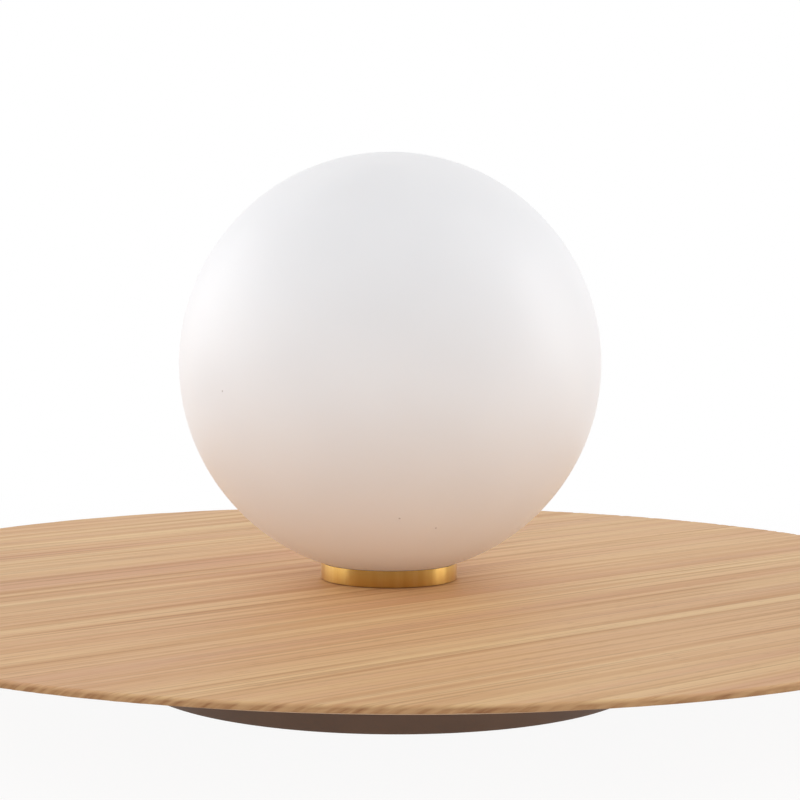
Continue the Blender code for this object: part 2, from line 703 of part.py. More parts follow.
def make_wall_bracket(material):
    """The strap: side section with both ears folded up, trimmed to its plan shape."""
    sheet = STRAP_SHEET
    tight, wide = STRAP_BEND, STRAP_BEND + sheet
    outer, inner = EAR_OUTER_X, EAR_OUTER_X - sheet
    right = [
        (outer, 0, wide),
        (outer, EAR_HEIGHT, 0),
        (inner, EAR_HEIGHT, 0),
        (inner, sheet, tight),
    ]
    corners = right + [(-across, up, fillet) for across, up, fillet in right[::-1]]
    strap = extruded("wall_bracket", corners, STRAP_WIDTH, material)
    strap.rotation_euler.x = pi / 2
    strap.location.y = STRAP_WIDTH / 2
    waist, half_ear, half_strap = STRAP_WAIST_START, EAR_WIDTH / 2, STRAP_WIDTH / 2
    taper_end = waist + half_strap - half_ear
    end = outer + CUT_OVERRUN
    quarter = [(end, half_ear), (taper_end, half_ear), (waist, half_strap - TRIM_MARGIN)]
    upper = quarter + [(-across, up) for across, up in quarter[::-1]]
    lower = [(across, -up) for across, up in upper[::-1]]
    plan = [(across, up, 0) for across, up in upper + lower]
    trim = extruded("wall_bracket_plan", plan, EAR_HEIGHT + 2 * CUT_OVERRUN, material)
    trim.location.z = -CUT_OVERRUN
    combine(strap, trim, "INTERSECT")
    combine(strap, make_ear_outline(material), "INTERSECT")
    through = sheet + 2 * CUT_OVERRUN
    cable_foot = Vector((0, 0, -CUT_OVERRUN))
    drill(strap, cable_foot, CABLE_HOLE_RADIUS, through, segments=MEDIUM_SEGMENTS)
    for side in (-1, 1):
        slot = extruded("wall_bracket_slot", capsule(SLOT_LENGTH, SLOT_WIDTH), through, material)
        slot.location = (side * (SLOT_START + SLOT_LENGTH / 2), 0, -CUT_OVERRUN)
        combine(strap, slot, "DIFFERENCE")
        start = Vector((side * (inner - CUT_OVERRUN), 0, LOCK_SCREW_HEIGHT))
        radius = LOCK_SCREW_RADIUS + HOLE_CLEARANCE
        drill(strap, start, radius, through, Vector((side, 0, 0)), TINY_SEGMENTS)
    screw_hole = BLOCK_SCREW_RADIUS + HOLE_CLEARANCE
    start = Vector((BLOCK_MIDDLE_X, -POLE_PITCH / 2, -CUT_OVERRUN))
    drill(strap, start, screw_hole, through, segments=TINY_SEGMENTS)
    return strap


def make_lock_screws(material):
    """The two screws and washers that hold the canopy on the bracket's ears."""
    for side, word in ((-1, "left"), (1, "right")):
        washer_in = CANOPY_RADIUS + SEAT_GAP
        head_in = washer_in + LOCK_WASHER_THICKNESS + SEAT_GAP
        washer = ring(
            f"lock_washer_{word}",
            LOCK_SCREW_RADIUS + HOLE_CLEARANCE,
            LOCK_WASHER_RADIUS,
            0,
            LOCK_WASHER_THICKNESS,
            SMALL_SEGMENTS,
            material,
        )
        point_along(washer, (side * washer_in, 0, LOCK_SCREW_HEIGHT), (side, 0, 0))
        piece = screw(
            f"lock_screw_{word}",
            LOCK_SCREW_RADIUS,
            LOCK_SCREW_LENGTH,
            LOCK_SCREW_HEAD,
            LOCK_SCREW_HEAD_HEIGHT,
            material,
        )
        point_along(piece, (side * head_in, 0, LOCK_SCREW_HEIGHT), (-side, 0, 0))


def pole_places():
    """Each pole's distance from the strap's middle line."""
    return [(n - (POLE_COUNT - 1) / 2) * POLE_PITCH for n in range(POLE_COUNT)]


def terminal_screw_places():
    steps = (-TERMINAL_SCREW_SPAN / 2, TERMINAL_SCREW_SPAN / 2)
    return [(BLOCK_MIDDLE_X + step, across) for across in pole_places() for step in steps]


def make_terminal_block(material):
    """The connector strip: three poles, drawn in between them."""
    half = BLOCK_LENGTH / 2
    width = POLE_COUNT * POLE_PITCH
    right = [(half, -width / 2, BLOCK_ROUND)]
    for lower, upper in zip(pole_places(), pole_places()[1:]):
        middle = (lower + upper) / 2
        right += [
            (half, middle - POLE_WAIST, 0),
            (half - POLE_WAIST, middle, 0),
            (half, middle + POLE_WAIST, 0),
        ]
    right.append((half, width / 2, BLOCK_ROUND))
    corners = right + [(-across, up, fillet) for across, up, fillet in right[::-1]]
    block = extruded("terminal_block", corners, BLOCK_HEIGHT, material, EDGE_STEPS)
    block.location = (BLOCK_MIDDLE_X, 0, BLOCK_Z)
    for across in pole_places():
        start = Vector((BLOCK_START - CUT_OVERRUN, across, POLE_Z))
        depth = BLOCK_LENGTH + 2 * CUT_OVERRUN
        drill(block, start, POLE_BORE, depth, Vector((1, 0, 0)), TINY_SEGMENTS)
    down = Vector((0, 0, -1))
    top = BLOCK_Z + BLOCK_HEIGHT + CUT_OVERRUN
    for along, across in terminal_screw_places():
        start = Vector((along, across, top))
        depth = top - POLE_Z
        drill(block, start, TERMINAL_SCREW_RADIUS + HOLE_CLEARANCE, depth, down, TINY_SEGMENTS)
    start = Vector((BLOCK_MIDDLE_X, -POLE_PITCH / 2, top))
    depth = BLOCK_HEIGHT + 2 * CUT_OVERRUN
    drill(block, start, BLOCK_SCREW_RADIUS + HOLE_CLEARANCE, depth, down, TINY_SEGMENTS)
    return block


def make_block_screws(steel, brass):
    """Six terminal screws down in the block, and the one that holds the block."""
    top = BLOCK_Z + BLOCK_HEIGHT
    for number, (along, across) in enumerate(terminal_screw_places(), start=1):
        name = f"terminal_screw_{number}"
        piece = rod(name, TERMINAL_SCREW_RADIUS, TERMINAL_SCREW_LENGTH, brass, TINY_SEGMENTS)
        piece.location = (along, across, top - TERMINAL_SCREW_SINK - TERMINAL_SCREW_LENGTH)
        slot_depth = TERMINAL_SCREW_RADIUS * SLOT_DEPTH_SHARE
        slot_width = 2 * TERMINAL_SCREW_RADIUS * SLOT_SHARE
        slot = rectangle(2 * (TERMINAL_SCREW_RADIUS + CUT_OVERRUN), slot_width, 0)
        cutter = extruded(f"{name}_slot", slot, slot_depth + CUT_OVERRUN, brass)
        cutter.location.z = TERMINAL_SCREW_LENGTH - slot_depth
        cutter.parent = piece
        combine(piece, cutter, "DIFFERENCE")
    piece = screw(
        "block_screw",
        BLOCK_SCREW_RADIUS,
        top + SEAT_GAP - STRAP_SHEET / 2,
        BLOCK_SCREW_HEAD,
        BLOCK_SCREW_HEAD_HEIGHT,
        steel,
    )
    point_along(piece, (BLOCK_MIDDLE_X, -POLE_PITCH / 2, top + SEAT_GAP), (0, 0, -1))


def make_earth(steel, brass):
    """The ring tag under its screw, on the canopy's ceiling."""
    tag_z = CANOPY_CEILING_Z - SEAT_GAP - EARTH_TAG_SHEET
    tail, half = EARTH_TAG_LENGTH, EARTH_TAG_WIDTH / 2
    tag = extruded("earth_tag", rectangle(tail, 2 * half, 0), EARTH_TAG_SHEET, brass)
    tag.location = (EARTH_X + tail / 2, 0, tag_z)
    eye = rod("earth_tag_eye", EARTH_TAG_RADIUS, EARTH_TAG_SHEET, brass)
    eye.location = (EARTH_X, 0, tag_z)
    combine(tag, eye, "UNION")
    radius = EARTH_SCREW_RADIUS + HOLE_CLEARANCE
    depth = EARTH_TAG_SHEET + 2 * CUT_OVERRUN
    drill(tag, Vector((EARTH_X, 0, tag_z - CUT_OVERRUN)), radius, depth, segments=TINY_SEGMENTS)
    length = CANOPY_TOP_Z - tag_z
    piece = screw(
        "earth_screw",
        EARTH_SCREW_RADIUS,
        length,
        EARTH_SCREW_HEAD,
        EARTH_SCREW_HEAD_HEIGHT,
        steel,
    )
    piece.location = (EARTH_X, 0, tag_z - SEAT_GAP)


def smooth_route(places, spacing):
    """Evenly spaced points on a smooth curve through the given places."""
    points = [places[0]]
    padded = [2 * places[0] - places[1], *places, 2 * places[-1] - places[-2]]
    for before, start, end, after in zip(padded, padded[1:], padded[2:], padded[3:]):
        steps = max(2, ceil((end - start).length / spacing))
        for step in range(1, steps + 1):
            t = step / steps
            bend = (2 * before - 5 * start + 4 * end - after) * t**2
            twist = (3 * start - before - 3 * end + after) * t**3
            points.append((2 * start + (end - before) * t + bend + twist) / 2)
    return points


def make_lead(name, places, material):
    """An insulated lead: a tube along a smooth route."""
    curve = bpy.data.curves.new(name, "CURVE")
    curve.dimensions = "3D"
    curve.bevel_depth = LEAD_RADIUS
    curve.bevel_resolution = 2
    curve.use_fill_caps = True
    route = smooth_route([Vector(place) for place in places], LEAD_STEP)
    spline = curve.splines.new("POLY")
    spline.points.add(len(route) - 1)
    for knot, point in zip(spline.points, route):
        knot.co = (*point, 1)
    return place_object(name, curve, material)


def make_leads(brown, blue, green):
    """Two leads from the lampholder down the nipple to the terminals, and the earth."""
    holder_foot = HOLDER_Z + CONTACT_HEIGHT - SEAT_GAP
    clear_z = NIPPLE_TOP_Z + LEAD_RADIUS
    exit_z = NIPPLE_FOOT_Z
    line_y, neutral_y, earth_y = pole_places()
    block_x = BLOCK_START + LEAD_END_INSET
    turn_x = BLOCK_START - 2 * LEAD_END_INSET
    turn_z = (exit_z + POLE_Z) / 2
    offset = LEAD_PITCH / 2
    first, second = LEAD_FAN_SHARES
    for name, side, across, material in (
        ("lead_line", -1, line_y, brown),
        ("lead_neutral", 1, neutral_y, blue),
    ):
        places = [
            (side * PIN_SPAN / 2, 0, holder_foot),
            (side * PIN_SPAN / 2, 0, HOLDER_Z - LEAD_RADIUS),
            (side * offset, 0, clear_z),
            (side * offset, 0, (clear_z + exit_z) / 2),
            (side * offset, 0, exit_z),
            (turn_x * first + side * offset, across * first, turn_z),
            (turn_x, across * second, POLE_Z + LEAD_PITCH),
            (BLOCK_START - LEAD_PITCH, across, POLE_Z),
            (block_x, across, POLE_Z),
        ]
        make_lead(name, places, material)
    tag_z = CANOPY_CEILING_Z - SEAT_GAP - EARTH_TAG_SHEET
    start_z = tag_z - SEAT_GAP - LEAD_RADIUS
    start_x = EARTH_X + EARTH_TAG_LENGTH - EARTH_TAG_WIDTH
    side_y = WASHER_RADIUS + 2 * LEAD_RADIUS
    places = [
        (start_x, 0, start_z),
        (start_x + LEAD_PITCH, LEAD_PITCH / 2, start_z - LEAD_RADIUS),
        (-NIPPLE_RADIUS, side_y, (start_z + turn_z) / 2),
        (turn_x / 2, side_y, turn_z),
        (turn_x, earth_y * EARTH_BOW_SHARE, POLE_Z + LEAD_PITCH),
        (BLOCK_START - LEAD_PITCH, earth_y, POLE_Z),
        (block_x, earth_y, POLE_Z),
    ]
    make_lead("lead_earth", places, green)


def hold(name, place, pieces):
    """An empty on the joint's axis that carries the pieces which move together."""
    carrier = bpy.data.objects.new(name, None)
    bpy.context.scene.collection.objects.link(carrier)
    carrier.location = place
    for piece in pieces:
        thing = bpy.data.objects[piece]
        thing.parent = carrier
        thing.matrix_parent_inverse = Matrix.Translation(-Vector(place))


def level_shading():
    """Lets the large flat faces set the shading where holes and slots cut them."""
    for thing in bpy.data.objects:
        if any(modifier.type == "BOOLEAN" for modifier in thing.modifiers):
            weighted = thing.modifiers.new("flat_faces_first", "WEIGHTED_NORMAL")
            weighted.keep_sharp = True


def make_lamp():
    clear_scene()
    finishes = make_materials()
    make_wall_bracket(finishes["steel"])
    make_canopy(finishes["canopy"])
    make_lock_screws(finishes["steel"])
    make_wood_disc(finishes["wood"])
    make_disc_screws(finishes["steel"])
    make_globe_cup(finishes["brass"])
    make_nipple_stack(finishes["steel"])
    make_holder_bracket(finishes["steel"])
    make_lampholder(finishes["ceramic"])
    make_holder_parts(finishes["steel"], finishes["brass"])
    make_bulb(finishes["plastic"], finishes["steel"], finishes["silicone"])
    make_terminal_block(finishes["plastic"])
    make_block_screws(finishes["steel"], finishes["brass"])
    make_earth(finishes["steel"], finishes["brass"])
    make_leads(finishes["lead_brown"], finishes["lead_blue"], finishes["lead_green"])
    make_seal_ring(finishes["silicone"])
    make_globe(finishes["opal"])
    hold("globe_thread", (0, 0, NECK_FOOT_Z), ["globe", "globe_seal_ring"])
    bulb = ["bulb_base", "bulb_board", "bulb_cover", "bulb_pin_left", "bulb_pin_right"]
    hold("bulb_seat", (0, 0, BULB_Z), bulb)
    for side, word in ((-1, "left"), (1, "right")):
        place = (side * CANOPY_RADIUS, 0, LOCK_SCREW_HEIGHT)
        hold(f"lock_thread_{word}", place, [f"lock_screw_{word}", f"lock_washer_{word}"])
    level_shading()


make_lamp()
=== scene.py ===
# %% [markdown]
# A flush wall lamp that lies on its back: an opal glass globe in a short brass collar, on a wide thin
# wood disc, over a shallow steel canopy. The working solids are loaded first and stay where they are.
# What shows is then modelled more finely over them, and every piece gets the finish of the real one.

# %% Load the frame
import json
from math import cos, pi, radians, sin, sqrt

import bmesh
import bpy
from mathutils import Matrix, Vector, noise


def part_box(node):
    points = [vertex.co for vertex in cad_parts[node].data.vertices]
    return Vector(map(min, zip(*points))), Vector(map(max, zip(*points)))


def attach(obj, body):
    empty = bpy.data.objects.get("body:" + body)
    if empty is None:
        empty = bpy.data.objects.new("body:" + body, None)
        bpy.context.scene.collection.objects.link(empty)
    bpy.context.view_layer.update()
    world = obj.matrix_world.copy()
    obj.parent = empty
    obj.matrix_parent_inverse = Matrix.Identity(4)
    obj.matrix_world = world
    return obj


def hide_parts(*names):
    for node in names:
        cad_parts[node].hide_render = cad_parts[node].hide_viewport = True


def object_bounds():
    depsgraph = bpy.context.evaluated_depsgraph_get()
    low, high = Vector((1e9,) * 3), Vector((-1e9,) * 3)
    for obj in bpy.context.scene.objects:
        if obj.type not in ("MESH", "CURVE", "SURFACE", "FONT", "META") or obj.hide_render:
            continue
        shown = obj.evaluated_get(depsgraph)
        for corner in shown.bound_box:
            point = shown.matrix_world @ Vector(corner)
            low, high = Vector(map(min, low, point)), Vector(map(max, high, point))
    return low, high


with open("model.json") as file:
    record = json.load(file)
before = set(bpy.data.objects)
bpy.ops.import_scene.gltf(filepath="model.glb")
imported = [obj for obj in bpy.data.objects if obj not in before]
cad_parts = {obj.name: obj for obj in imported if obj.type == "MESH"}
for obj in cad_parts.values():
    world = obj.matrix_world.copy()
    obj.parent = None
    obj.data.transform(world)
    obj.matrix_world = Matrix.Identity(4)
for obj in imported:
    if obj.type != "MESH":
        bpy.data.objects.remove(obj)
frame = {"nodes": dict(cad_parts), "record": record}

solid_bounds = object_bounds()
cad_nodes = frame["nodes"]
solid_size = solid_bounds[1] - solid_bounds[0]
print("solid pieces:", len(cad_nodes), "box in mm:", [round(1000 * c) for c in solid_size])

# %% [markdown]
# The photograph's camera stands half a metre in front of the disc, a little above it, and looks almost
# level. Its place and angles were fitted to the rims of the disc, the canopy and the globe. The small
# shift says that the frame's middle isn't quite where the lens looks.

# %% The camera
FRAME_PIXELS = 800
CAMERA_PLACE = Vector((0.0, -0.7238, 0.1501))
CAMERA_PITCH = radians(3.963)
CAMERA_YAW = radians(-1.119)
CAMERA_ROLL = radians(0.126)
CAMERA_LENS = 91.34
LENS_MIDDLE_X = 350


def aim_camera():
    ahead = Vector(
        (
            sin(CAMERA_YAW) * cos(CAMERA_PITCH),
            cos(CAMERA_YAW) * cos(CAMERA_PITCH),
            -sin(CAMERA_PITCH),
        )
    )
    level = Vector((cos(CAMERA_YAW), -sin(CAMERA_YAW), 0))
    above = level.cross(ahead)
    right = cos(CAMERA_ROLL) * level + sin(CAMERA_ROLL) * above
    up = cos(CAMERA_ROLL) * above - sin(CAMERA_ROLL) * level
    turn = Matrix((right, up, -ahead)).transposed().to_4x4()
    return Matrix.Translation(CAMERA_PLACE) @ turn


camera = bpy.data.objects.new("camera", bpy.data.cameras.new("camera"))
bpy.context.scene.collection.objects.link(camera)
camera.matrix_world = aim_camera()
camera.data.lens = CAMERA_LENS
camera.data.shift_x = (FRAME_PIXELS / 2 - LENS_MIDDLE_X) / FRAME_PIXELS
camera.data.clip_start = 0.02
bpy.context.scene.camera = camera
bpy.context.scene.view_settings.view_transform = "Standard"
print("camera distance in mm:", round(1000 * CAMERA_PLACE.length), "shift:", camera.data.shift_x)

# %% [markdown]
# Colours are written as the sRGB hex codes that a paint programme shows. Shaders count light in linear
# values, so one function turns the first into the second.


# %% Colours
def linear(code):
    """An sRGB hex code as linear red, green, blue and alpha."""
    channels = [int(code[start:start + 2], 16) / 255 for start in (0, 2, 4)]
    light = [c / 12.92 if c <= 0.04045 else ((c + 0.055) / 1.055) ** 2.4 for c in channels]
    return (*light, 1.0)


print("middle grey in linear light:", round(linear("808080")[0], 3))

# %% [markdown]
# A finish is a small net of nodes. One function adds a node, sets what it holds and links what feeds
# it, so that each finish reads from top to bottom as a list of what the surface is made of.


# %% Nodes and finishes
def feed(tree, node, feeds):
    """Links sockets to a node's inputs, or sets values there, by the input's name or number."""
    for key, value in feeds.items():
        if isinstance(value, bpy.types.NodeSocket):
            tree.links.new(value, node.inputs[key])
        else:
            node.inputs[key].default_value = value


def add(tree, kind, feeds=None, stops=None, **settings):
    """Adds a node with its settings, with what feeds it, and with the stops of its colour ramp."""
    node = tree.nodes.new("ShaderNode" + kind)
    for name, value in settings.items():
        setattr(node, name, value)
    feed(tree, node, feeds or {})
    if stops:
        ramp = node.color_ramp
        while len(ramp.elements) < len(stops):
            ramp.elements.new(1.0)
        for element, (place, colour) in zip(ramp.elements, stops):
            element.position = place
            element.color = colour
    return node


MIX_FACTOR, MIX_FIRST, MIX_SECOND, MIX_RESULT = 0, 6, 7, 2
BLACK = (0.0, 0.0, 0.0, 1.0)
WHITE = (1.0, 1.0, 1.0, 1.0)


def new_finish(name):
    """A material with one Principled shader, and the object's own coordinates."""
    material = bpy.data.materials.new(name)
    material.use_nodes = True
    tree = material.node_tree
    tree.nodes.clear()
    shader = add(tree, "BsdfPrincipled")
    add(tree, "OutputMaterial", {"Surface": shader.outputs["BSDF"]})
    place = add(tree, "TexCoord").outputs["Object"]
    return material, tree, shader, place


# %% [markdown]
# Every tool of the edit mode works on what is selected, and the loaded solids come in selected. So a
# piece starts by clearing the selection, and its rings are then picked by their place. A turned piece
# grows like a pot on a wheel: a ring is added, drawn out to the next radius and height, and so on.


# %% Tools for turned pieces
RING_TOLERANCE = 0.000002
MERGE_DISTANCE = 0.000001
SMOOTH_ANGLE = radians(40)


def start_piece(name):
    """Names the primitive that was just added, and goes into edit mode with all of it selected."""
    piece = bpy.context.active_object
    piece.name = piece.data.name = name
    bpy.ops.object.mode_set(mode="EDIT")
    bpy.ops.mesh.select_all(action="SELECT")
    return piece


def draw_ring(radius, height, last_radius, last_height):
    """Extrudes the selected ring and takes it to a new radius and height."""
    climb = {"value": (0, 0, height - last_height)}
    bpy.ops.mesh.extrude_region_move(TRANSFORM_OT_translate=climb)
    if radius != last_radius:
        ratio = radius / last_radius
        middle = (0, 0, height)
        bpy.ops.transform.resize(value=(ratio, ratio, 1), center_override=middle)


def select_rings(piece, rings):
    """Selects the round edges that lie at one of the (radius, height) places."""
    builder = bmesh.from_edit_mesh(piece.data)
    for end_grain_and_shade in builder.edges:
        points = [(hypot2(v.co), v.co.z) for v in end_grain_and_shade.verts]
        end_grain_and_shade.select_set(
            any(
                all(abs(r - radius) < RING_TOLERANCE and abs(z - height) < RING_TOLERANCE for r, z in points)
                for radius, height in rings
            )
        )
    builder.select_flush(False)
    bmesh.update_edit_mesh(piece.data)


def hypot2(point):
    return sqrt(point.x**2 + point.y**2)


def turned(name, stations, segments, rounds=(), closed=True):
    """A turned piece from (radius, height) stations; rounds are (station number, size, steps)."""
    bpy.ops.object.select_all(action="DESELECT")
    radius, height = stations[0]
    bpy.ops.mesh.primitive_circle_add(vertices=segments, radius=radius, location=(0, 0, height))
    piece = bpy.context.active_object
    bpy.ops.object.transform_apply(location=True, rotation=True, scale=True)
    start_piece(name)
    bpy.ops.mesh.select_mode(type="EDGE")
    for (last_radius, last_height), (radius, height) in zip(stations, stations[1:]):
        draw_ring(radius, height, last_radius, last_height)
    if closed:
        select_rings(piece, [stations[0], stations[-1]])
        bpy.ops.mesh.bridge_edge_loops()
    for number, size, steps in rounds:
        select_rings(piece, [stations[number]])
        bpy.ops.mesh.bevel(offset=size, segments=steps, affect="EDGES")
    bpy.ops.mesh.select_all(action="SELECT")
    bpy.ops.mesh.remove_doubles(threshold=MERGE_DISTANCE)
    bpy.ops.mesh.normals_make_consistent(inside=False)
    bpy.ops.object.mode_set(mode="OBJECT")
    return piece


def finish_piece(piece, body, material, smooth=SMOOTH_ANGLE):
    """Applies the piece's place, shades it, and lets it ride on its body."""
    bpy.ops.object.select_all(action="DESELECT")
    piece.select_set(True)
    bpy.context.view_layer.objects.active = piece
    bpy.ops.object.transform_apply(location=True, rotation=True, scale=True)
    bpy.ops.object.shade_smooth_by_angle(angle=smooth)
    piece.data.materials.clear()
    piece.data.materials.append(material)
    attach(piece, body)
    print(piece.name, "faces:", len(piece.data.polygons))
    return piece


def apply_modifiers(piece):
    bpy.ops.object.select_all(action="DESELECT")
    piece.select_set(True)
    bpy.context.view_layer.objects.active = piece
    for modifier in list(piece.modifiers):
        bpy.ops.object.modifier_apply(modifier=modifier.name)


# %% [markdown]
# The wood is light oak with straight grain, sliced along the tree, sanded and closed with a matt
# lacquer. That gives the eye three scales at once: broad bands of yellower and pinker wood, thin
# streaks of the year rings, and short dark pores. The grain crosses the disc at about 40 degrees. The
# rings lie at a slant in the board, so the same coordinate, moved aside with height, draws the lines on
# the face and carries them on over the edge. An image of wood would need a file and would tile, so each
# scale is a noise of its real width, drawn out along the grain.

# %% Grain coordinates
GRAIN_ANGLE = radians(40)
RING_SLANT = 1.3
BAND_WIDTH = 0.021
BAND_WAVER = 0.3
STREAK_WIDTH = 0.0052
LINE_WIDTH = 0.0015
PALE_WIDTH = 0.00255
PORE_WIDTH = 0.0006
EDGE_MARK_WIDTH = 0.0026
BAND_STRETCH = 1 / 30
STREAK_STRETCH = 1 / 60
LINE_STRETCH = 1 / 110
PORE_STRETCH = 1 / 14
EDGE_STRETCH = 1 / 4
disc_low, disc_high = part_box("wood_disc")
DISC_RADIUS = disc_high.x
DISC_FRONT = disc_high.z


def grain_place(tree, place):
    """Coordinates with X along the grain and Y across it, slanted with height."""
    turned_place = add(tree, "Mapping", {"Vector": place, "Rotation": (0, 0, -GRAIN_ANGLE)}).outputs[0]
    parts = add(tree, "SeparateXYZ", {0: turned_place}).outputs
    slanted = add(
        tree,
        "Math",
        {0: parts["Z"], 1: RING_SLANT, 2: parts["Y"]},
        operation="MULTIPLY_ADD",
    ).outputs[0]
    return add(tree, "CombineXYZ", {"X": parts["X"], "Y": slanted}).outputs[0]


def grain(tree, along, width, stretch, detail=2.0, distortion=0.0):
    """Noise of a real width across the grain, drawn out along it."""
    scaled = add(tree, "Mapping", {"Vector": along, "Scale": (stretch, 1, 1)}).outputs[0]
    feeds = {"Vector": scaled, "Scale": 1 / width, "Detail": detail, "Distortion": distortion}
    return add(tree, "TexNoise", feeds).outputs["Fac"]


def grey(value):
    return (value, value, value, 1.0)


# %% [markdown]
# The finish stacks those scales like thin washes of colour: each one is a mask that blends its own tone
# over what lies under it. At the rim a browner tone is laid all round. It is partly the end grain, which
# drinks more lacquer, and partly painted shade on the rim's side below the face. That tone starts just
# below the face and stays within a few millimetres of the rim.

# %% Oak finish
EDGE_TOP = 0.0002
EDGE_FULL = 0.001
EDGE_BACK = 0.004
OAK_SATIN = (0.5, 0.62)
PORE_DEPTH = 0.0003
PORE_STRENGTH = 0.2
OAK_IOR = 1.45
OAK_SPECULAR = 0.2


def oak_finish():
    material, tree, shader, place = new_finish("lacquered_oak")
    along = grain_place(tree, place)
    band = grain(tree, along, BAND_WIDTH, BAND_STRETCH, distortion=BAND_WAVER)
    stops = [(0.32, linear("DCAA80")), (0.48, linear("E5B988")), (0.66, linear("EDC894"))]
    colour = add(tree, "ValToRGB", {"Fac": band}, stops=stops).outputs["Color"]
    washes = [
        ("D09C70", grain(tree, along, STREAK_WIDTH, STREAK_STRETCH, 3.0), (0.30, grey(0.85)), (0.54, BLACK)),
        ("B27C52", grain(tree, along, LINE_WIDTH, LINE_STRETCH), (0.36, grey(0.42)), (0.48, BLACK)),
        ("F0D2A2", grain(tree, along, PALE_WIDTH, LINE_STRETCH, 1.0), (0.58, BLACK), (0.74, grey(0.3))),
        ("A8744D", grain(tree, along, PORE_WIDTH, PORE_STRETCH, 1.0), (0.27, grey(0.4)), (0.36, BLACK)),
    ]
    masks = []
    for tone, width, *stops in washes:
        masks.append(add(tree, "ValToRGB", {"Fac": width}, stops=stops).outputs["Color"])
        feeds = {MIX_FACTOR: masks[-1], MIX_FIRST: colour, MIX_SECOND: linear(tone)}
        colour = add(tree, "Mix", feeds, data_type="RGBA").outputs[MIX_RESULT]
    streaks, lines, _, pores = masks

    height = add(tree, "SeparateXYZ", {0: place}).outputs["Z"]
    feeds = {"Value": height, "From Min": DISC_FRONT - EDGE_TOP, "From Max": DISC_FRONT - EDGE_FULL}
    below_face = add(tree, "MapRange", feeds).outputs[0]
    flat = add(tree, "VectorMath", {0: place, 1: (1, 1, 0)}, operation="MULTIPLY").outputs[0]
    reach = add(tree, "VectorMath", {0: flat}, operation="LENGTH").outputs["Value"]
    feeds = {"Value": reach, "From Min": DISC_RADIUS - EDGE_BACK, "From Max": DISC_RADIUS - EDGE_BACK / 2}
    near_rim = add(tree, "MapRange", feeds).outputs[0]
    at_edge = add(tree, "Math", {0: below_face, 1: near_rim}, operation="MULTIPLY").outputs[0]
    marks = grain(tree, along, EDGE_MARK_WIDTH, EDGE_STRETCH, 3.0)
    # The rim's browner tone is partly end grain and partly painted shade, laid all round below the face.
    stops = [(0.33, linear("9A6A47")), (0.46, linear("B4875D")), (0.62, linear("C79C70"))]
    end_grain_and_shade = add(tree, "ValToRGB", {"Fac": marks}, stops=stops).outputs["Color"]
    feeds = {MIX_FACTOR: at_edge, MIX_FIRST: colour, MIX_SECOND: end_grain_and_shade}
    colour = add(tree, "Mix", feeds, data_type="RGBA").outputs[MIX_RESULT]
    relief = add(tree, "Math", {0: lines, 1: pores}, operation="ADD").outputs[0]
    bump = add(tree, "Bump", {"Height": relief, "Strength": PORE_STRENGTH, "Distance": -PORE_DEPTH})
    feeds = {"Value": streaks, "To Min": OAK_SATIN[0], "To Max": OAK_SATIN[1]}
    gloss = add(tree, "MapRange", feeds).outputs[0]
    feeds = {
        "Base Color": colour,
        "Roughness": gloss,
        "Normal": bump.outputs["Normal"],
        "IOR": OAK_IOR,
        "Specular IOR Level": OAK_SPECULAR,
    }
    feed(tree, shader, feeds)
    return material


oak = oak_finish()
print("oak bands of", BAND_WIDTH * 1000, "mm, streaks of", STREAK_WIDTH * 1000, "mm")

# %% [markdown]
# The disc is a thin board, bevelled from behind so that it shows as a fine edge. Sanding has rounded
# that edge over. Where it cuts across the grain, the soft wood between the rings has torn out a little,
# so the rim's points are moved in by a few tenths of a millimetre, by the same slanted rings.

# %% Wood disc
DISC_SEGMENTS = 1080
DISC_LIP = 0.0022
DISC_BEVEL_WIDTH = 0.016
DISC_EDGE_ROUND = 0.0012
DISC_BACK_ROUND = 0.0004
DISC_HOLE_RADIUS = 0.0227
RIM_CHIP = 0.0004
RIM_CHIP_LENGTH = 0.0026
RIM_ZONE = 0.0026
RIM_RING = 0.6
LONG_GRAIN_CHIP = 0.3
CHIP_BIAS = 0.1
ACROSS = Vector((-sin(GRAIN_ANGLE), cos(GRAIN_ANGLE), 0))
ALONG = Vector((cos(GRAIN_ANGLE), sin(GRAIN_ANGLE), 0))


def chip_rim(piece):
    """Moves the rim's points in a little, where a soft ring meets the edge."""
    for vertex in piece.data.vertices:
        reach = hypot2(vertex.co)
        if reach < DISC_RADIUS - RIM_ZONE:
            continue
        outward = Vector((vertex.co.x, vertex.co.y, 0)).normalized()
        slanted = vertex.co.dot(ACROSS) + RING_SLANT * vertex.co.z
        sample = noise.noise(
            Vector((vertex.co.dot(ALONG) * EDGE_STRETCH, slanted, 0)) / RIM_CHIP_LENGTH
        )
        end_grain = abs(outward.dot(ALONG))
        share = LONG_GRAIN_CHIP + (1 - LONG_GRAIN_CHIP) * end_grain
        chip = RIM_CHIP * share * max(0.0, CHIP_BIAS + sample)
        vertex.co -= outward * chip
        if vertex.co.z > DISC_FRONT - DISC_EDGE_ROUND / 2:
            vertex.co.z -= chip * (reach - DISC_RADIUS + RIM_ZONE) / RIM_ZONE


def make_wood_disc():
    stations = [
        (DISC_HOLE_RADIUS, disc_low.z),
        (DISC_RADIUS - DISC_BEVEL_WIDTH, disc_low.z),
        (DISC_RADIUS, DISC_FRONT - DISC_LIP),
        (DISC_RADIUS, DISC_FRONT),
        (DISC_RADIUS - RIM_ZONE * RIM_RING, DISC_FRONT),
        (DISC_RADIUS - RIM_ZONE, DISC_FRONT),
        (DISC_HOLE_RADIUS, DISC_FRONT),
    ]
    rounds = [(3, DISC_EDGE_ROUND, 6), (2, DISC_BACK_ROUND, 3)]
    piece = turned("wood_disc_board", stations, DISC_SEGMENTS, rounds)
    chip_rim(piece)
    finish_piece(piece, "lamp", oak)
    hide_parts("wood_disc")
    return piece


make_wood_disc()

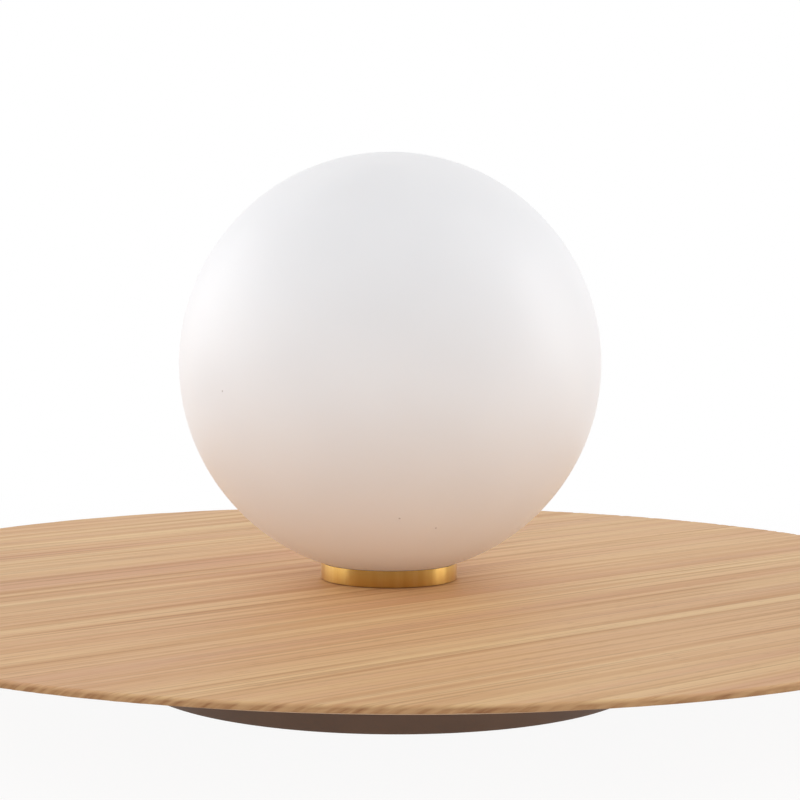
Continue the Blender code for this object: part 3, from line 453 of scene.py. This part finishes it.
# %% [markdown]
# The globe is blown opal glass whose outside is etched to a satin finish. Light goes a little way into
# it and comes out again, so its shading is soft. It has no colour of its own, apart from what the wood
# throws back at it, and a few tiny seeds that stay in the glass. A very weak glow, the same all over,
# stands for the light that the real glass spreads round inside itself.

# %% Opal glass finish
GLOBE_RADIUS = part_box("globe")[1].x
GLOBE_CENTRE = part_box("globe")[1].z - GLOBE_RADIUS
BLOWN_WAVE = 0.035
ETCH_GRAIN = 0.0007
ETCH_DEPTH = 0.0001
ETCH_STRENGTH = 0.06
WAVE_DEPTH = 0.002
WAVE_STRENGTH = 0.05
SCATTER_LENGTH = 0.001
SCATTER_SHARE = 0.15
SCATTER_COLOURS = (1.0, 0.92, 0.88)
SPREAD_LIGHT = 0.04
GLASS_IOR = 1.5
OPAL_SATIN = (0.38, 0.48)
SEED_SIZE = 0.00045
SEED_SHADE = 0.5
SEED_PLACES = [(0.06, 0.645), (0.294, 0.697), (-0.843, 0.092)]


def seed_point(turn, drop):
    """A point on the globe's front: how far it is turned to the right, and how far down it is."""
    side = sqrt(1 - drop**2)
    return GLOBE_RADIUS * Vector((side * sin(turn), -side * cos(turn), -drop)) + Vector((0, 0, GLOBE_CENTRE))


def opal_finish():
    material, tree, shader, place = new_finish("etched_opal_glass")
    clouds = add(tree, "TexNoise", {"Vector": place, "Scale": 1 / BLOWN_WAVE, "Detail": 1.0}).outputs["Fac"]
    stops = [(0.35, linear("F8F7F9")), (0.65, linear("FBFAFC"))]
    tone = add(tree, "ValToRGB", {"Fac": clouds}, stops=stops).outputs["Color"]
    for turn, drop in SEED_PLACES:
        feeds = {0: place, 1: seed_point(turn, drop)}
        away = add(tree, "VectorMath", feeds, operation="DISTANCE").outputs["Value"]
        feeds = {"Value": away, "To Min": SEED_SHADE, "To Max": 0.0}
        feeds.update({"From Min": SEED_SIZE / 2, "From Max": SEED_SIZE})
        spot = add(tree, "MapRange", feeds).outputs[0]
        feeds = {MIX_FACTOR: spot, MIX_FIRST: tone, MIX_SECOND: linear("8F7A6E")}
        tone = add(tree, "Mix", feeds, data_type="RGBA").outputs[MIX_RESULT]
    etch = add(tree, "TexNoise", {"Vector": place, "Scale": 1 / ETCH_GRAIN, "Detail": 2.0}).outputs["Fac"]
    feeds = {"Height": etch, "Strength": ETCH_STRENGTH, "Distance": ETCH_DEPTH}
    fine = add(tree, "Bump", feeds).outputs["Normal"]
    feeds = {"Height": clouds, "Normal": fine, "Strength": WAVE_STRENGTH, "Distance": WAVE_DEPTH}
    bump = add(tree, "Bump", feeds).outputs["Normal"]
    feeds = {"Value": etch, "To Min": OPAL_SATIN[0], "To Max": OPAL_SATIN[1]}
    satin = add(tree, "MapRange", feeds).outputs[0]
    feeds = {
        "Base Color": tone,
        "Roughness": satin,
        "IOR": GLASS_IOR,
        "Emission Color": linear("F4F8FF"),
        "Emission Strength": SPREAD_LIGHT,
        "Subsurface Weight": SCATTER_SHARE,
        "Subsurface Radius": SCATTER_COLOURS,
        "Subsurface Scale": SCATTER_LENGTH,
        "Normal": bump,
    }
    feed(tree, shader, feeds)
    return material


opal = opal_finish()
print("opal glass over a globe of", round(2000 * GLOBE_RADIUS), "mm")

# %% [markdown]
# The globe starts as a sphere. Its foot is cut off with a bisect, where the solid goes over into its
# neck, and a Solidify modifier gives the glass its wall. The neck itself, which the solids have, isn't
# made here: the collar hides its place at rest, and the open foot shows when the globe is raised.

# %% Globe
GLOBE_SEGMENTS = 160
GLOBE_RINGS = 80
GLASS_WALL = 0.003
FOOT_RADIUS = 0.0205
GLASS_SMOOTH = radians(60)


def make_globe():
    bpy.ops.object.select_all(action="DESELECT")
    bpy.ops.mesh.primitive_uv_sphere_add(
        segments=GLOBE_SEGMENTS,
        ring_count=GLOBE_RINGS,
        radius=GLOBE_RADIUS,
        location=(0, 0, GLOBE_CENTRE),
    )
    piece = bpy.context.active_object
    bpy.ops.object.transform_apply(location=True, rotation=True, scale=True)
    start_piece("globe_glass")
    cut = GLOBE_CENTRE - sqrt(GLOBE_RADIUS**2 - FOOT_RADIUS**2)
    bpy.ops.mesh.bisect(plane_co=(0, 0, cut), plane_no=(0, 0, 1), clear_inner=True)
    bpy.ops.mesh.select_all(action="SELECT")
    bpy.ops.mesh.remove_doubles(threshold=MERGE_DISTANCE)
    bpy.ops.mesh.normals_make_consistent(inside=False)
    bpy.ops.object.mode_set(mode="OBJECT")
    wall = piece.modifiers.new("glass_wall", "SOLIDIFY")
    wall.thickness = GLASS_WALL
    wall.offset = -1
    wall.use_even_offset = True
    apply_modifiers(piece)
    finish_piece(piece, "globe", opal, GLASS_SMOOTH)
    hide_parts("globe")
    return piece


make_globe()

# %% [markdown]
# The cup is turned from brass and left with the fine lathe and brush marks on it. The ring that shows
# is the collar. Brass mirrors the wood below it and the dark side of the studio in front, which is why
# its middle looks orange and its left side pale gold. The marks run round the ring, so they draw each
# highlight out upright: the anisotropy is strong, and turned a quarter.

# %% Brushed brass finish
BRUSH_WIDTH = 0.0005
BRUSH_STRETCH = 1 / 40
BRUSH_DRIFT = 0.004
BRUSH_DEPTH = 0.00002
BRUSH_STRENGTH = 0.15
BRASS_SATIN = (0.28, 0.35)
BRASS_PULL = 0.93
QUARTER_TURN = 0.25
cup_low, cup_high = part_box("globe_cup")
COLLAR_RADIUS = cup_high.x


def brass_finish():
    material, tree, shader, place = new_finish("brushed_brass")
    brushed = add(tree, "Mapping", {"Vector": place, "Scale": (1, 1, BRUSH_STRETCH)}).outputs[0]
    feeds = {"Vector": brushed, "Scale": 1 / BRUSH_WIDTH, "Detail": 3.0}
    marks = add(tree, "TexNoise", feeds).outputs["Fac"]
    feeds = {"Vector": brushed, "Scale": 1 / BRUSH_DRIFT, "Detail": 2.0}
    broad = add(tree, "TexNoise", feeds).outputs["Fac"]
    stops = [(0.32, linear("DAB063")), (0.5, linear("E1BA6C")), (0.7, linear("E8C47A"))]
    colour = add(tree, "ValToRGB", {"Fac": broad}, stops=stops).outputs["Color"]
    feeds = {"Value": marks, "To Min": BRASS_SATIN[0], "To Max": BRASS_SATIN[1]}
    rough = add(tree, "MapRange", feeds).outputs[0]
    bump = add(tree, "Bump", {"Height": marks, "Strength": BRUSH_STRENGTH, "Distance": BRUSH_DEPTH})
    feeds = {
        "Base Color": colour,
        "Metallic": 1.0,
        "Anisotropic": BRASS_PULL,
        "Anisotropic Rotation": QUARTER_TURN,
        "Roughness": rough,
        "Normal": bump.outputs["Normal"],
    }
    feed(tree, shader, feeds)
    return material


brass = brass_finish()
print("brush marks of", BRUSH_WIDTH * 1000, "mm, drawn coarser than the real ones so that they show")

# %% [markdown]
# The cup is one turned piece, drawn ring by ring: floor, barrel, collar, and the bore inside. Its brim
# follows the globe a tenth of a millimetre below it, because a wider gap would show as a dark line.

# %% Globe cup
CUP_SEGMENTS = 192
COLLAR_EDGE = 0.00015
COLLAR_GAP = 0.0001
CUP_BORE = 0.0202
CUP_BARREL = 0.0224
CUP_FLOOR = 0.0015
NIPPLE_HOLE = 0.0053
REBATE_RADIUS = 0.0229
REBATE_DEPTH = 0.0031
SEAT_GAP = 0.0003
collar_foot = DISC_FRONT + SEAT_GAP


def make_globe_cup():
    floor = cup_low.z + CUP_FLOOR
    brim = GLOBE_CENTRE - sqrt(GLOBE_RADIUS**2 - COLLAR_RADIUS**2) - COLLAR_GAP
    lip = GLOBE_CENTRE - sqrt(GLOBE_RADIUS**2 - REBATE_RADIUS**2) - COLLAR_GAP
    stations = [
        (NIPPLE_HOLE, cup_low.z),
        (CUP_BARREL, cup_low.z),
        (CUP_BARREL, collar_foot),
        (COLLAR_RADIUS, collar_foot),
        (COLLAR_RADIUS, brim),
        (REBATE_RADIUS, lip),
        (REBATE_RADIUS, lip - REBATE_DEPTH),
        (CUP_BORE, lip - REBATE_DEPTH),
        (CUP_BORE, floor),
        (NIPPLE_HOLE, floor),
    ]
    rounds = [(4, COLLAR_EDGE, 4), (3, COLLAR_EDGE / 3, 2), (8, COLLAR_EDGE, 2)]
    piece = turned("globe_cup_turned", stations, CUP_SEGMENTS, rounds)
    finish_piece(piece, "lamp", brass)
    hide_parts("globe_cup")
    return piece


make_globe_cup()

# %% [markdown]
# The canopy is pressed from steel sheet and powder coated in a warm taupe. Powder coat flows out in the
# oven to a satin skin with a very fine orange peel.

# %% Powder coat finish
PEEL_SIZE = 0.0009
PEEL_DEPTH = 0.00008
PEEL_STRENGTH = 0.2
COAT_DRIFT = 0.03
COAT_SATIN = (0.42, 0.55)


def powder_finish():
    material, tree, shader, place = new_finish("taupe_powder_coat")
    peel = add(tree, "TexNoise", {"Vector": place, "Scale": 1 / PEEL_SIZE, "Detail": 2.0}).outputs["Fac"]
    broad = add(tree, "TexNoise", {"Vector": place, "Scale": 1 / COAT_DRIFT, "Detail": 3.0}).outputs["Fac"]
    stops = [(0.3, linear("7E6554")), (0.7, linear("8B705D"))]
    colour = add(tree, "ValToRGB", {"Fac": broad}, stops=stops).outputs["Color"]
    feeds = {"Value": peel, "To Min": COAT_SATIN[0], "To Max": COAT_SATIN[1]}
    rough = add(tree, "MapRange", feeds).outputs[0]
    bump = add(tree, "Bump", {"Height": peel, "Strength": PEEL_STRENGTH, "Distance": PEEL_DEPTH})
    feed(tree, shader, {"Base Color": colour, "Roughness": rough, "Normal": bump.outputs["Normal"]})
    return material


powder_coat = powder_finish()
print("orange peel of", PEEL_SIZE * 1000, "mm")

# %% [markdown]
# The pan is drawn the same way, with a generous round where the press folded the sheet. The holes that
# the screws pass through are then drilled, each with a cylinder and a Boolean modifier.

# %% Canopy
CANOPY_SEGMENTS = 256
CANOPY_WALL = 0.0012
CANOPY_SHOULDER = 0.005
SCREW_HOLE_RADIUS = 0.0019
DRILL_LENGTH = 0.008
HOLE_SEGMENTS = 32
canopy_low, canopy_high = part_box("canopy")


def drill(piece, places):
    """Cuts round holes; places are (radius, middle, axis) with the axis X or Z."""
    for radius, middle, axis in places:
        bpy.ops.object.select_all(action="DESELECT")
        turn = (0, pi / 2, 0) if axis == "X" else (0, 0, 0)
        bpy.ops.mesh.primitive_cylinder_add(
            vertices=HOLE_SEGMENTS, radius=radius, depth=DRILL_LENGTH, location=middle, rotation=turn
        )
        drill_bit = bpy.context.active_object
        hole = piece.modifiers.new("hole", "BOOLEAN")
        hole.object = drill_bit
        apply_modifiers(piece)
        bpy.data.objects.remove(drill_bit)


def middle_of(node):
    low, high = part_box(node)
    return (low + high) / 2


def canopy_holes():
    """Clearance holes where the lock screws, the wood screws and the earth screw pass the sheet."""
    holes = []
    for word, side in (("left", -1), ("right", 1)):
        height = middle_of(f"lock_screw_{word}").z
        holes.append((SCREW_HOLE_RADIUS, Vector((side * canopy_high.x, 0, height)), "X"))
    for node in ("disc_screw_1", "disc_screw_2", "disc_screw_3", "earth_screw"):
        middle = middle_of(node)
        holes.append((SCREW_HOLE_RADIUS, Vector((middle.x, middle.y, canopy_high.z)), "Z"))
    return holes


def make_canopy():
    radius, top = canopy_high.x, canopy_high.z
    inner, ceiling = radius - CANOPY_WALL, top - CANOPY_WALL
    stations = [
        (NIPPLE_HOLE, ceiling),
        (inner, ceiling),
        (inner, canopy_low.z),
        (radius, canopy_low.z),
        (radius, top),
        (NIPPLE_HOLE, top),
    ]
    rounds = [
        (4, CANOPY_SHOULDER, 10),
        (1, CANOPY_SHOULDER - CANOPY_WALL, 8),
        (3, CANOPY_WALL / 3, 2),
        (2, CANOPY_WALL / 3, 2),
    ]
    piece = turned("canopy_pan", stations, CANOPY_SEGMENTS, rounds)
    drill(piece, canopy_holes())
    finish_piece(piece, "lamp", powder_coat)
    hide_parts("canopy")
    return piece


make_canopy()

# %% [markdown]
# Behind the disc are the working pieces. They keep the solids' shapes, and get the finish that each has
# on a real lamp: zinc-plated steel with its bluish mottling, off-white steatite, plain brass contacts,
# moulded plastic and silicone. Each is a base tone that changes slowly over the piece, with a finer
# grain in its gloss and its relief, so one function makes them from a few real sizes.


# %% Finishes of the working pieces
GRAIN_STRENGTH = 0.3


def plain_finish(name, tones, tone_size, grain_size, gloss, relief, stretch=(1, 1, 1), **fixed):
    """Two tones that drift over tone_size, and a grain that varies gloss and relief."""
    material, tree, shader, place = new_finish(name)
    drift = add(tree, "TexNoise", {"Vector": place, "Scale": 1 / tone_size, "Detail": 3.0}).outputs["Fac"]
    stops = [(0.35, linear(tones[0])), (0.65, linear(tones[1]))]
    colour = add(tree, "ValToRGB", {"Fac": drift}, stops=stops).outputs["Color"]
    drawn = add(tree, "Mapping", {"Vector": place, "Scale": stretch}).outputs[0]
    fine = add(tree, "TexNoise", {"Vector": drawn, "Scale": 1 / grain_size, "Detail": 2.0}).outputs["Fac"]
    rough = add(tree, "MapRange", {"Value": fine, "To Min": gloss[0], "To Max": gloss[1]}).outputs[0]
    feeds = {"Height": fine, "Strength": GRAIN_STRENGTH, "Distance": relief}
    bump = add(tree, "Bump", feeds).outputs["Normal"]
    feed(tree, shader, {"Base Color": colour, "Roughness": rough, "Normal": bump})
    for key, value in fixed.items():
        shader.inputs[key.replace("_", " ")].default_value = value
    return material


# Each row gives the name, the two tones, the sizes of tone and grain, the range of gloss and the relief.
inner_finishes = {
    # Bright zinc over rolled sheet: a bluish grey that mottles, with the rolling marks along the strap.
    "zinc_plated_steel": plain_finish(
        "bright_zinc_plate", ("B4BAC2", "CDD1D3"), 0.007, 0.0006, (0.24, 0.4), 0.00002,
        stretch=(0.08, 1, 1), Metallic=1.0,
    ),
    # The same powder coat as the canopy, over small turned pieces.
    "taupe_steel": powder_coat,
    # Steatite is a dense technical ceramic, off-white, with faint grey specks.
    "steatite": plain_finish(
        "steatite_ceramic", ("DED8CC", "EAE5DB"), 0.004, 0.0005, (0.35, 0.5), 0.00003, IOR=1.6,
    ),
    # Plain stamped brass, a little dulled.
    "contact_brass": plain_finish(
        "stamped_brass", ("C9A04E", "DDBB70"), 0.003, 0.0004, (0.25, 0.38), 0.00001, Metallic=1.0,
    ),
    # Moulded polyamide: milky white, with the fine grain of a spark-eroded mould.
    "white_plastic": plain_finish(
        "moulded_polyamide", ("E6E5DF", "F0EFEA"), 0.009, 0.0004, (0.38, 0.5), 0.00003, IOR=1.53,
    ),
    # The light board is white solder mask over glass fibre.
    "light_board": plain_finish(
        "white_solder_mask", ("EDEBE2", "F4F2EA"), 0.003, 0.0003, (0.3, 0.42), 0.00001,
    ),
    # Frosted polycarbonate over the light board.
    "frosted_cover": plain_finish(
        "frosted_polycarbonate", ("F0F0EC", "F8F8F5"), 0.006, 0.0003, (0.5, 0.62), 0.00002, IOR=1.585,
    ),
    # Silicone rubber: soft and matt, slightly milky.
    "silicone": plain_finish(
        "silicone_rubber", ("DEDEDA", "EBEBE7"), 0.004, 0.0003, (0.55, 0.7), 0.00002, IOR=1.41,
    ),
}

# The sleeves of the three leads are extruded silicone: a satin skin, and a tone that is nearly even. The
# earth's is green and yellow.
for word, tones, tone_size in (
    ("brown", ("4C2C1A", "62391F"), 0.003),
    ("blue", ("22508F", "2F66AE"), 0.003),
    ("green", ("4F8A2C", "C8C23A"), 0.0035),
):
    inner_finishes[f"{word}_sleeve"] = plain_finish(
        f"{word}_silicone_sleeve", tones, tone_size, 0.0003, (0.4, 0.55), 0.00002
    )
print("finishes for the working pieces:", len(inner_finishes))

# %% [markdown]
# Each solid that stays is given the finish of its own material slot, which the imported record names.

# %% Dress the solids
dressed = 0
for subpart in frame["record"]["subparts"]:
    node, slot = subpart["node"], subpart["material_slot"]
    if slot in inner_finishes:
        solid = cad_nodes[node]
        solid.data.materials.clear()
        solid.data.materials.append(inner_finishes[slot])
        dressed += 1
print("solids with a finish of their own:", dressed)

# %% [markdown]
# The two screws that lock the canopy show from the sides, so they are made finer: a domed head with a
# straight slot, over a flat washer. A head is turned on the Z axis first, its slot is cut with a thin
# box, and then it is laid over onto its place at the canopy's side.

# %% Lock screws
HEAD_SEGMENTS = 64
SCREW_SLOT_WIDTH = 0.0009
SCREW_SLOT_DEPTH = 0.001
HEAD_EDGE = 0.0002
HEAD_STEPS = 8
HEAD_RIM = 0.35
SHANK_RADIUS = 0.0016
SHANK_POINT = 0.0008


def lay_over(piece, side, inner_x, height):
    """Turns a piece's +Z to point outwards along X at that side, at that height."""
    turn = Matrix.Rotation(side * pi / 2, 4, "Y")
    piece.data.transform(Matrix.Translation((inner_x, 0, height)) @ turn)


def make_lock_screw(word, side):
    low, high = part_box(f"lock_screw_{word}")
    washer_low, washer_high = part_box(f"lock_washer_{word}")
    height = (low.z + high.z) / 2
    head_radius = (high.z - low.z) / 2
    outer = max(abs(low.x), abs(high.x))
    inner = min(abs(low.x), abs(high.x))
    seat = max(abs(washer_low.x), abs(washer_high.x)) + SEAT_GAP
    head_height = outer - seat
    length = seat - inner
    dome = [
        (head_radius * sin(turn), head_height * (HEAD_RIM + (1 - HEAD_RIM) * cos(turn)))
        for turn in [pi / 2 * (1 - step / HEAD_STEPS) for step in range(HEAD_STEPS)]
    ]
    stations = [
        (SHANK_RADIUS - SHANK_POINT / 2, -length),
        (SHANK_RADIUS, -length + SHANK_POINT),
        (SHANK_RADIUS, 0),
        (head_radius - HEAD_EDGE, 0),
        (head_radius, HEAD_EDGE),
        *dome,
        (SCREW_SLOT_WIDTH / 8, head_height),
    ]
    piece = turned(f"lock_screw_{word}_turned", stations, HEAD_SEGMENTS, closed=False)
    bpy.ops.object.select_all(action="DESELECT")
    piece.select_set(True)
    bpy.context.view_layer.objects.active = piece
    bpy.ops.object.mode_set(mode="EDIT")
    bpy.ops.mesh.select_all(action="DESELECT")
    bpy.ops.mesh.select_non_manifold()
    bpy.ops.mesh.fill_holes(sides=0)
    bpy.ops.mesh.select_all(action="SELECT")
    bpy.ops.mesh.normals_make_consistent(inside=False)
    bpy.ops.object.mode_set(mode="OBJECT")
    bpy.ops.object.select_all(action="DESELECT")
    bpy.ops.mesh.primitive_cube_add(size=1, location=(0, 0, head_height))
    cutter = bpy.context.active_object
    cutter.scale = (SCREW_SLOT_WIDTH, 4 * head_radius, 2 * SCREW_SLOT_DEPTH)
    bpy.ops.object.transform_apply(location=True, rotation=True, scale=True)
    slot = piece.modifiers.new("slot", "BOOLEAN")
    slot.object = cutter
    apply_modifiers(piece)
    bpy.data.objects.remove(cutter)
    lay_over(piece, side, side * seat, height)
    finish_piece(piece, f"{word}_lock_screw", powder_coat)
    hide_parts(f"lock_screw_{word}")
    return piece


def make_lock_washer(word, side):
    low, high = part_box(f"lock_washer_{word}")
    radius, height = (high.z - low.z) / 2, (low.z + high.z) / 2
    near, thickness = min(abs(low.x), abs(high.x)), high.x - low.x
    hole = SHANK_RADIUS + SEAT_GAP
    stations = [(hole, 0), (radius, 0), (radius, thickness), (hole, thickness)]
    rounds = [(1, HEAD_EDGE / 2, 2), (2, HEAD_EDGE, 3)]
    piece = turned(f"lock_washer_{word}_turned", stations, HEAD_SEGMENTS, rounds)
    lay_over(piece, side, side * near, height)
    finish_piece(piece, f"{word}_washer", powder_coat)
    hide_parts(f"lock_washer_{word}")
    return piece


for word, side in (("left", -1), ("right", 1)):
    make_lock_screw(word, side)
    make_lock_washer(word, side)

# %% [markdown]
# The studio is a white sweep. It throws light back as paper does. The camera, and the rays that mirror
# it in brass and glass, see it mostly as plain white: near the lamp a small share of the paper is left
# for them, which takes a faint shadow, and further away none, so that no horizon shows.

# %% Floor and sweep
FLOOR_SIZE = 12.0
FLOOR_DROP = 0.0005
PAPER_ROUGHNESS = 0.9
PAPER_SPECULAR = 0.1
FLOOR_GLOW_NEAR = 0.93
GLOW_START = 0.25
GLOW_FULL = 0.6


def background_rays(tree):
    """One for the rays that show the background: the camera's, and those in metal and glass."""
    path = add(tree, "LightPath").outputs
    feeds = {0: path["Is Camera Ray"], 1: path["Is Glossy Ray"]}
    either = add(tree, "Math", feeds, operation="MAXIMUM").outputs[0]
    feeds = {0: either, 1: path["Is Transmission Ray"]}
    return add(tree, "Math", feeds, operation="MAXIMUM").outputs[0]


def make_floor():
    bpy.ops.object.select_all(action="DESELECT")
    bpy.ops.mesh.primitive_plane_add(size=FLOOR_SIZE, location=(0, 0, -FLOOR_DROP))
    floor = bpy.context.active_object
    floor.name = "floor"
    material, tree, shader, place = new_finish("white_paper_sweep")
    feeds = {"Roughness": PAPER_ROUGHNESS, "Specular IOR Level": PAPER_SPECULAR}
    feed(tree, shader, {"Base Color": linear("FAFAFA"), **feeds})
    away = add(tree, "VectorMath", {0: place}, operation="LENGTH").outputs["Value"]
    feeds = {"Value": away, "From Min": GLOW_START, "From Max": GLOW_FULL, "To Min": FLOOR_GLOW_NEAR}
    share = add(tree, "MapRange", feeds, interpolation_type="SMOOTHSTEP").outputs[0]
    share = add(tree, "Math", {0: background_rays(tree), 1: share}, operation="MULTIPLY").outputs[0]
    glow = add(tree, "Emission", {"Color": WHITE, "Strength": 1.0}).outputs[0]
    both = add(tree, "MixShader", {0: share, 1: shader.outputs["BSDF"], 2: glow}).outputs[0]
    output = [node for node in tree.nodes if node.type == "OUTPUT_MATERIAL"][0]
    tree.links.new(both, output.inputs["Surface"])
    floor.data.materials.append(material)
    return floor


make_floor()

# %% [markdown]
# The world lights the lamp from all round, and more from the camera's side and from behind. Its colour
# for the camera is plain white. In the brass it is dimmer towards the camera, as a real studio is.

# %% World light
AROUND = 0.49
FROM_FRONT = 0.53
FROM_BEHIND = 0.33
FRONT_SHOWS = 0.3
FRONT_EDGE = (0.1, 0.6)


def light_world():
    """Lights by direction. The background shows white, and metal sees it dimmer on the camera's side."""
    world = bpy.data.worlds.new("studio")
    bpy.context.scene.world = world
    world.use_nodes = True
    tree = world.node_tree
    tree.nodes.clear()
    direction = add(tree, "TexCoord").outputs["Generated"]
    depth = add(tree, "SeparateXYZ", {0: direction}).outputs["Y"]
    ahead = add(tree, "Math", {0: depth, 1: -1.0}, operation="MULTIPLY").outputs[0]
    total = AROUND
    for toward, strength in ((ahead, FROM_FRONT), (depth, FROM_BEHIND)):
        shone = add(tree, "Math", {0: toward, 1: 0.0}, operation="MAXIMUM").outputs[0]
        feeds = {0: shone, 1: strength, 2: total}
        total = add(tree, "Math", feeds, operation="MULTIPLY_ADD").outputs[0]
    feeds = {"Value": ahead, "To Min": 1.0, "To Max": FRONT_SHOWS}
    feeds.update({"From Min": FRONT_EDGE[0], "From Max": FRONT_EDGE[1]})
    mirrored = add(tree, "MapRange", feeds, interpolation_type="SMOOTHSTEP").outputs[0]
    seen = add(tree, "LightPath").outputs["Is Camera Ray"]
    shown = add(tree, "Math", {0: mirrored, 1: seen}, operation="MAXIMUM").outputs[0]
    feeds = {0: background_rays(tree), 2: total, 3: shown}
    strength = add(tree, "Mix", feeds, data_type="FLOAT").outputs[0]
    shade = add(tree, "Background", {"Color": WHITE, "Strength": strength}).outputs[0]
    add(tree, "OutputWorld", {"Surface": shade})


light_world()
print("from all round", AROUND, "from the front", FROM_FRONT, "from behind", FROM_BEHIND)

# %% [markdown]
# Two tall soft boxes stand at the left and the right. They draw the pale upright bands on the collar,
# and they lift the two sides of the globe. They are tall because a low one leaves a hot spot on it.

# %% Soft boxes
BOX_DISTANCE = 1.1
LEFT_SIDE = radians(-105)
RIGHT_SIDE = radians(97)
LEFT_BOX_SIZE = (1.3, 0.9)
RIGHT_BOX_SIZE = (0.5, 0.9)
BOX_HEIGHT = 0.5
LEFT_BOX_WATTS = 4.5
RIGHT_BOX_WATTS = 3.1


def add_lamp(name, side, height, size, watts):
    """A flat lamp that stands round the object, turned from the camera's side, and faces its axis."""
    lamp = bpy.data.lights.new(name, "AREA")
    lamp.shape = "RECTANGLE"
    lamp.size, lamp.size_y = size
    lamp.energy = watts
    stand = bpy.data.objects.new(name, lamp)
    bpy.context.scene.collection.objects.link(stand)
    stand.location = (BOX_DISTANCE * sin(side), -BOX_DISTANCE * cos(side), disc_high.z + height)
    stand.rotation_euler = (pi / 2, 0, side)
    return stand


add_lamp("left_soft_box", LEFT_SIDE, BOX_HEIGHT, LEFT_BOX_SIZE, LEFT_BOX_WATTS)
add_lamp("right_soft_box", RIGHT_SIDE, BOX_HEIGHT, RIGHT_BOX_SIZE, RIGHT_BOX_WATTS)
print("lamps stand", BOX_DISTANCE, "m from the axis")
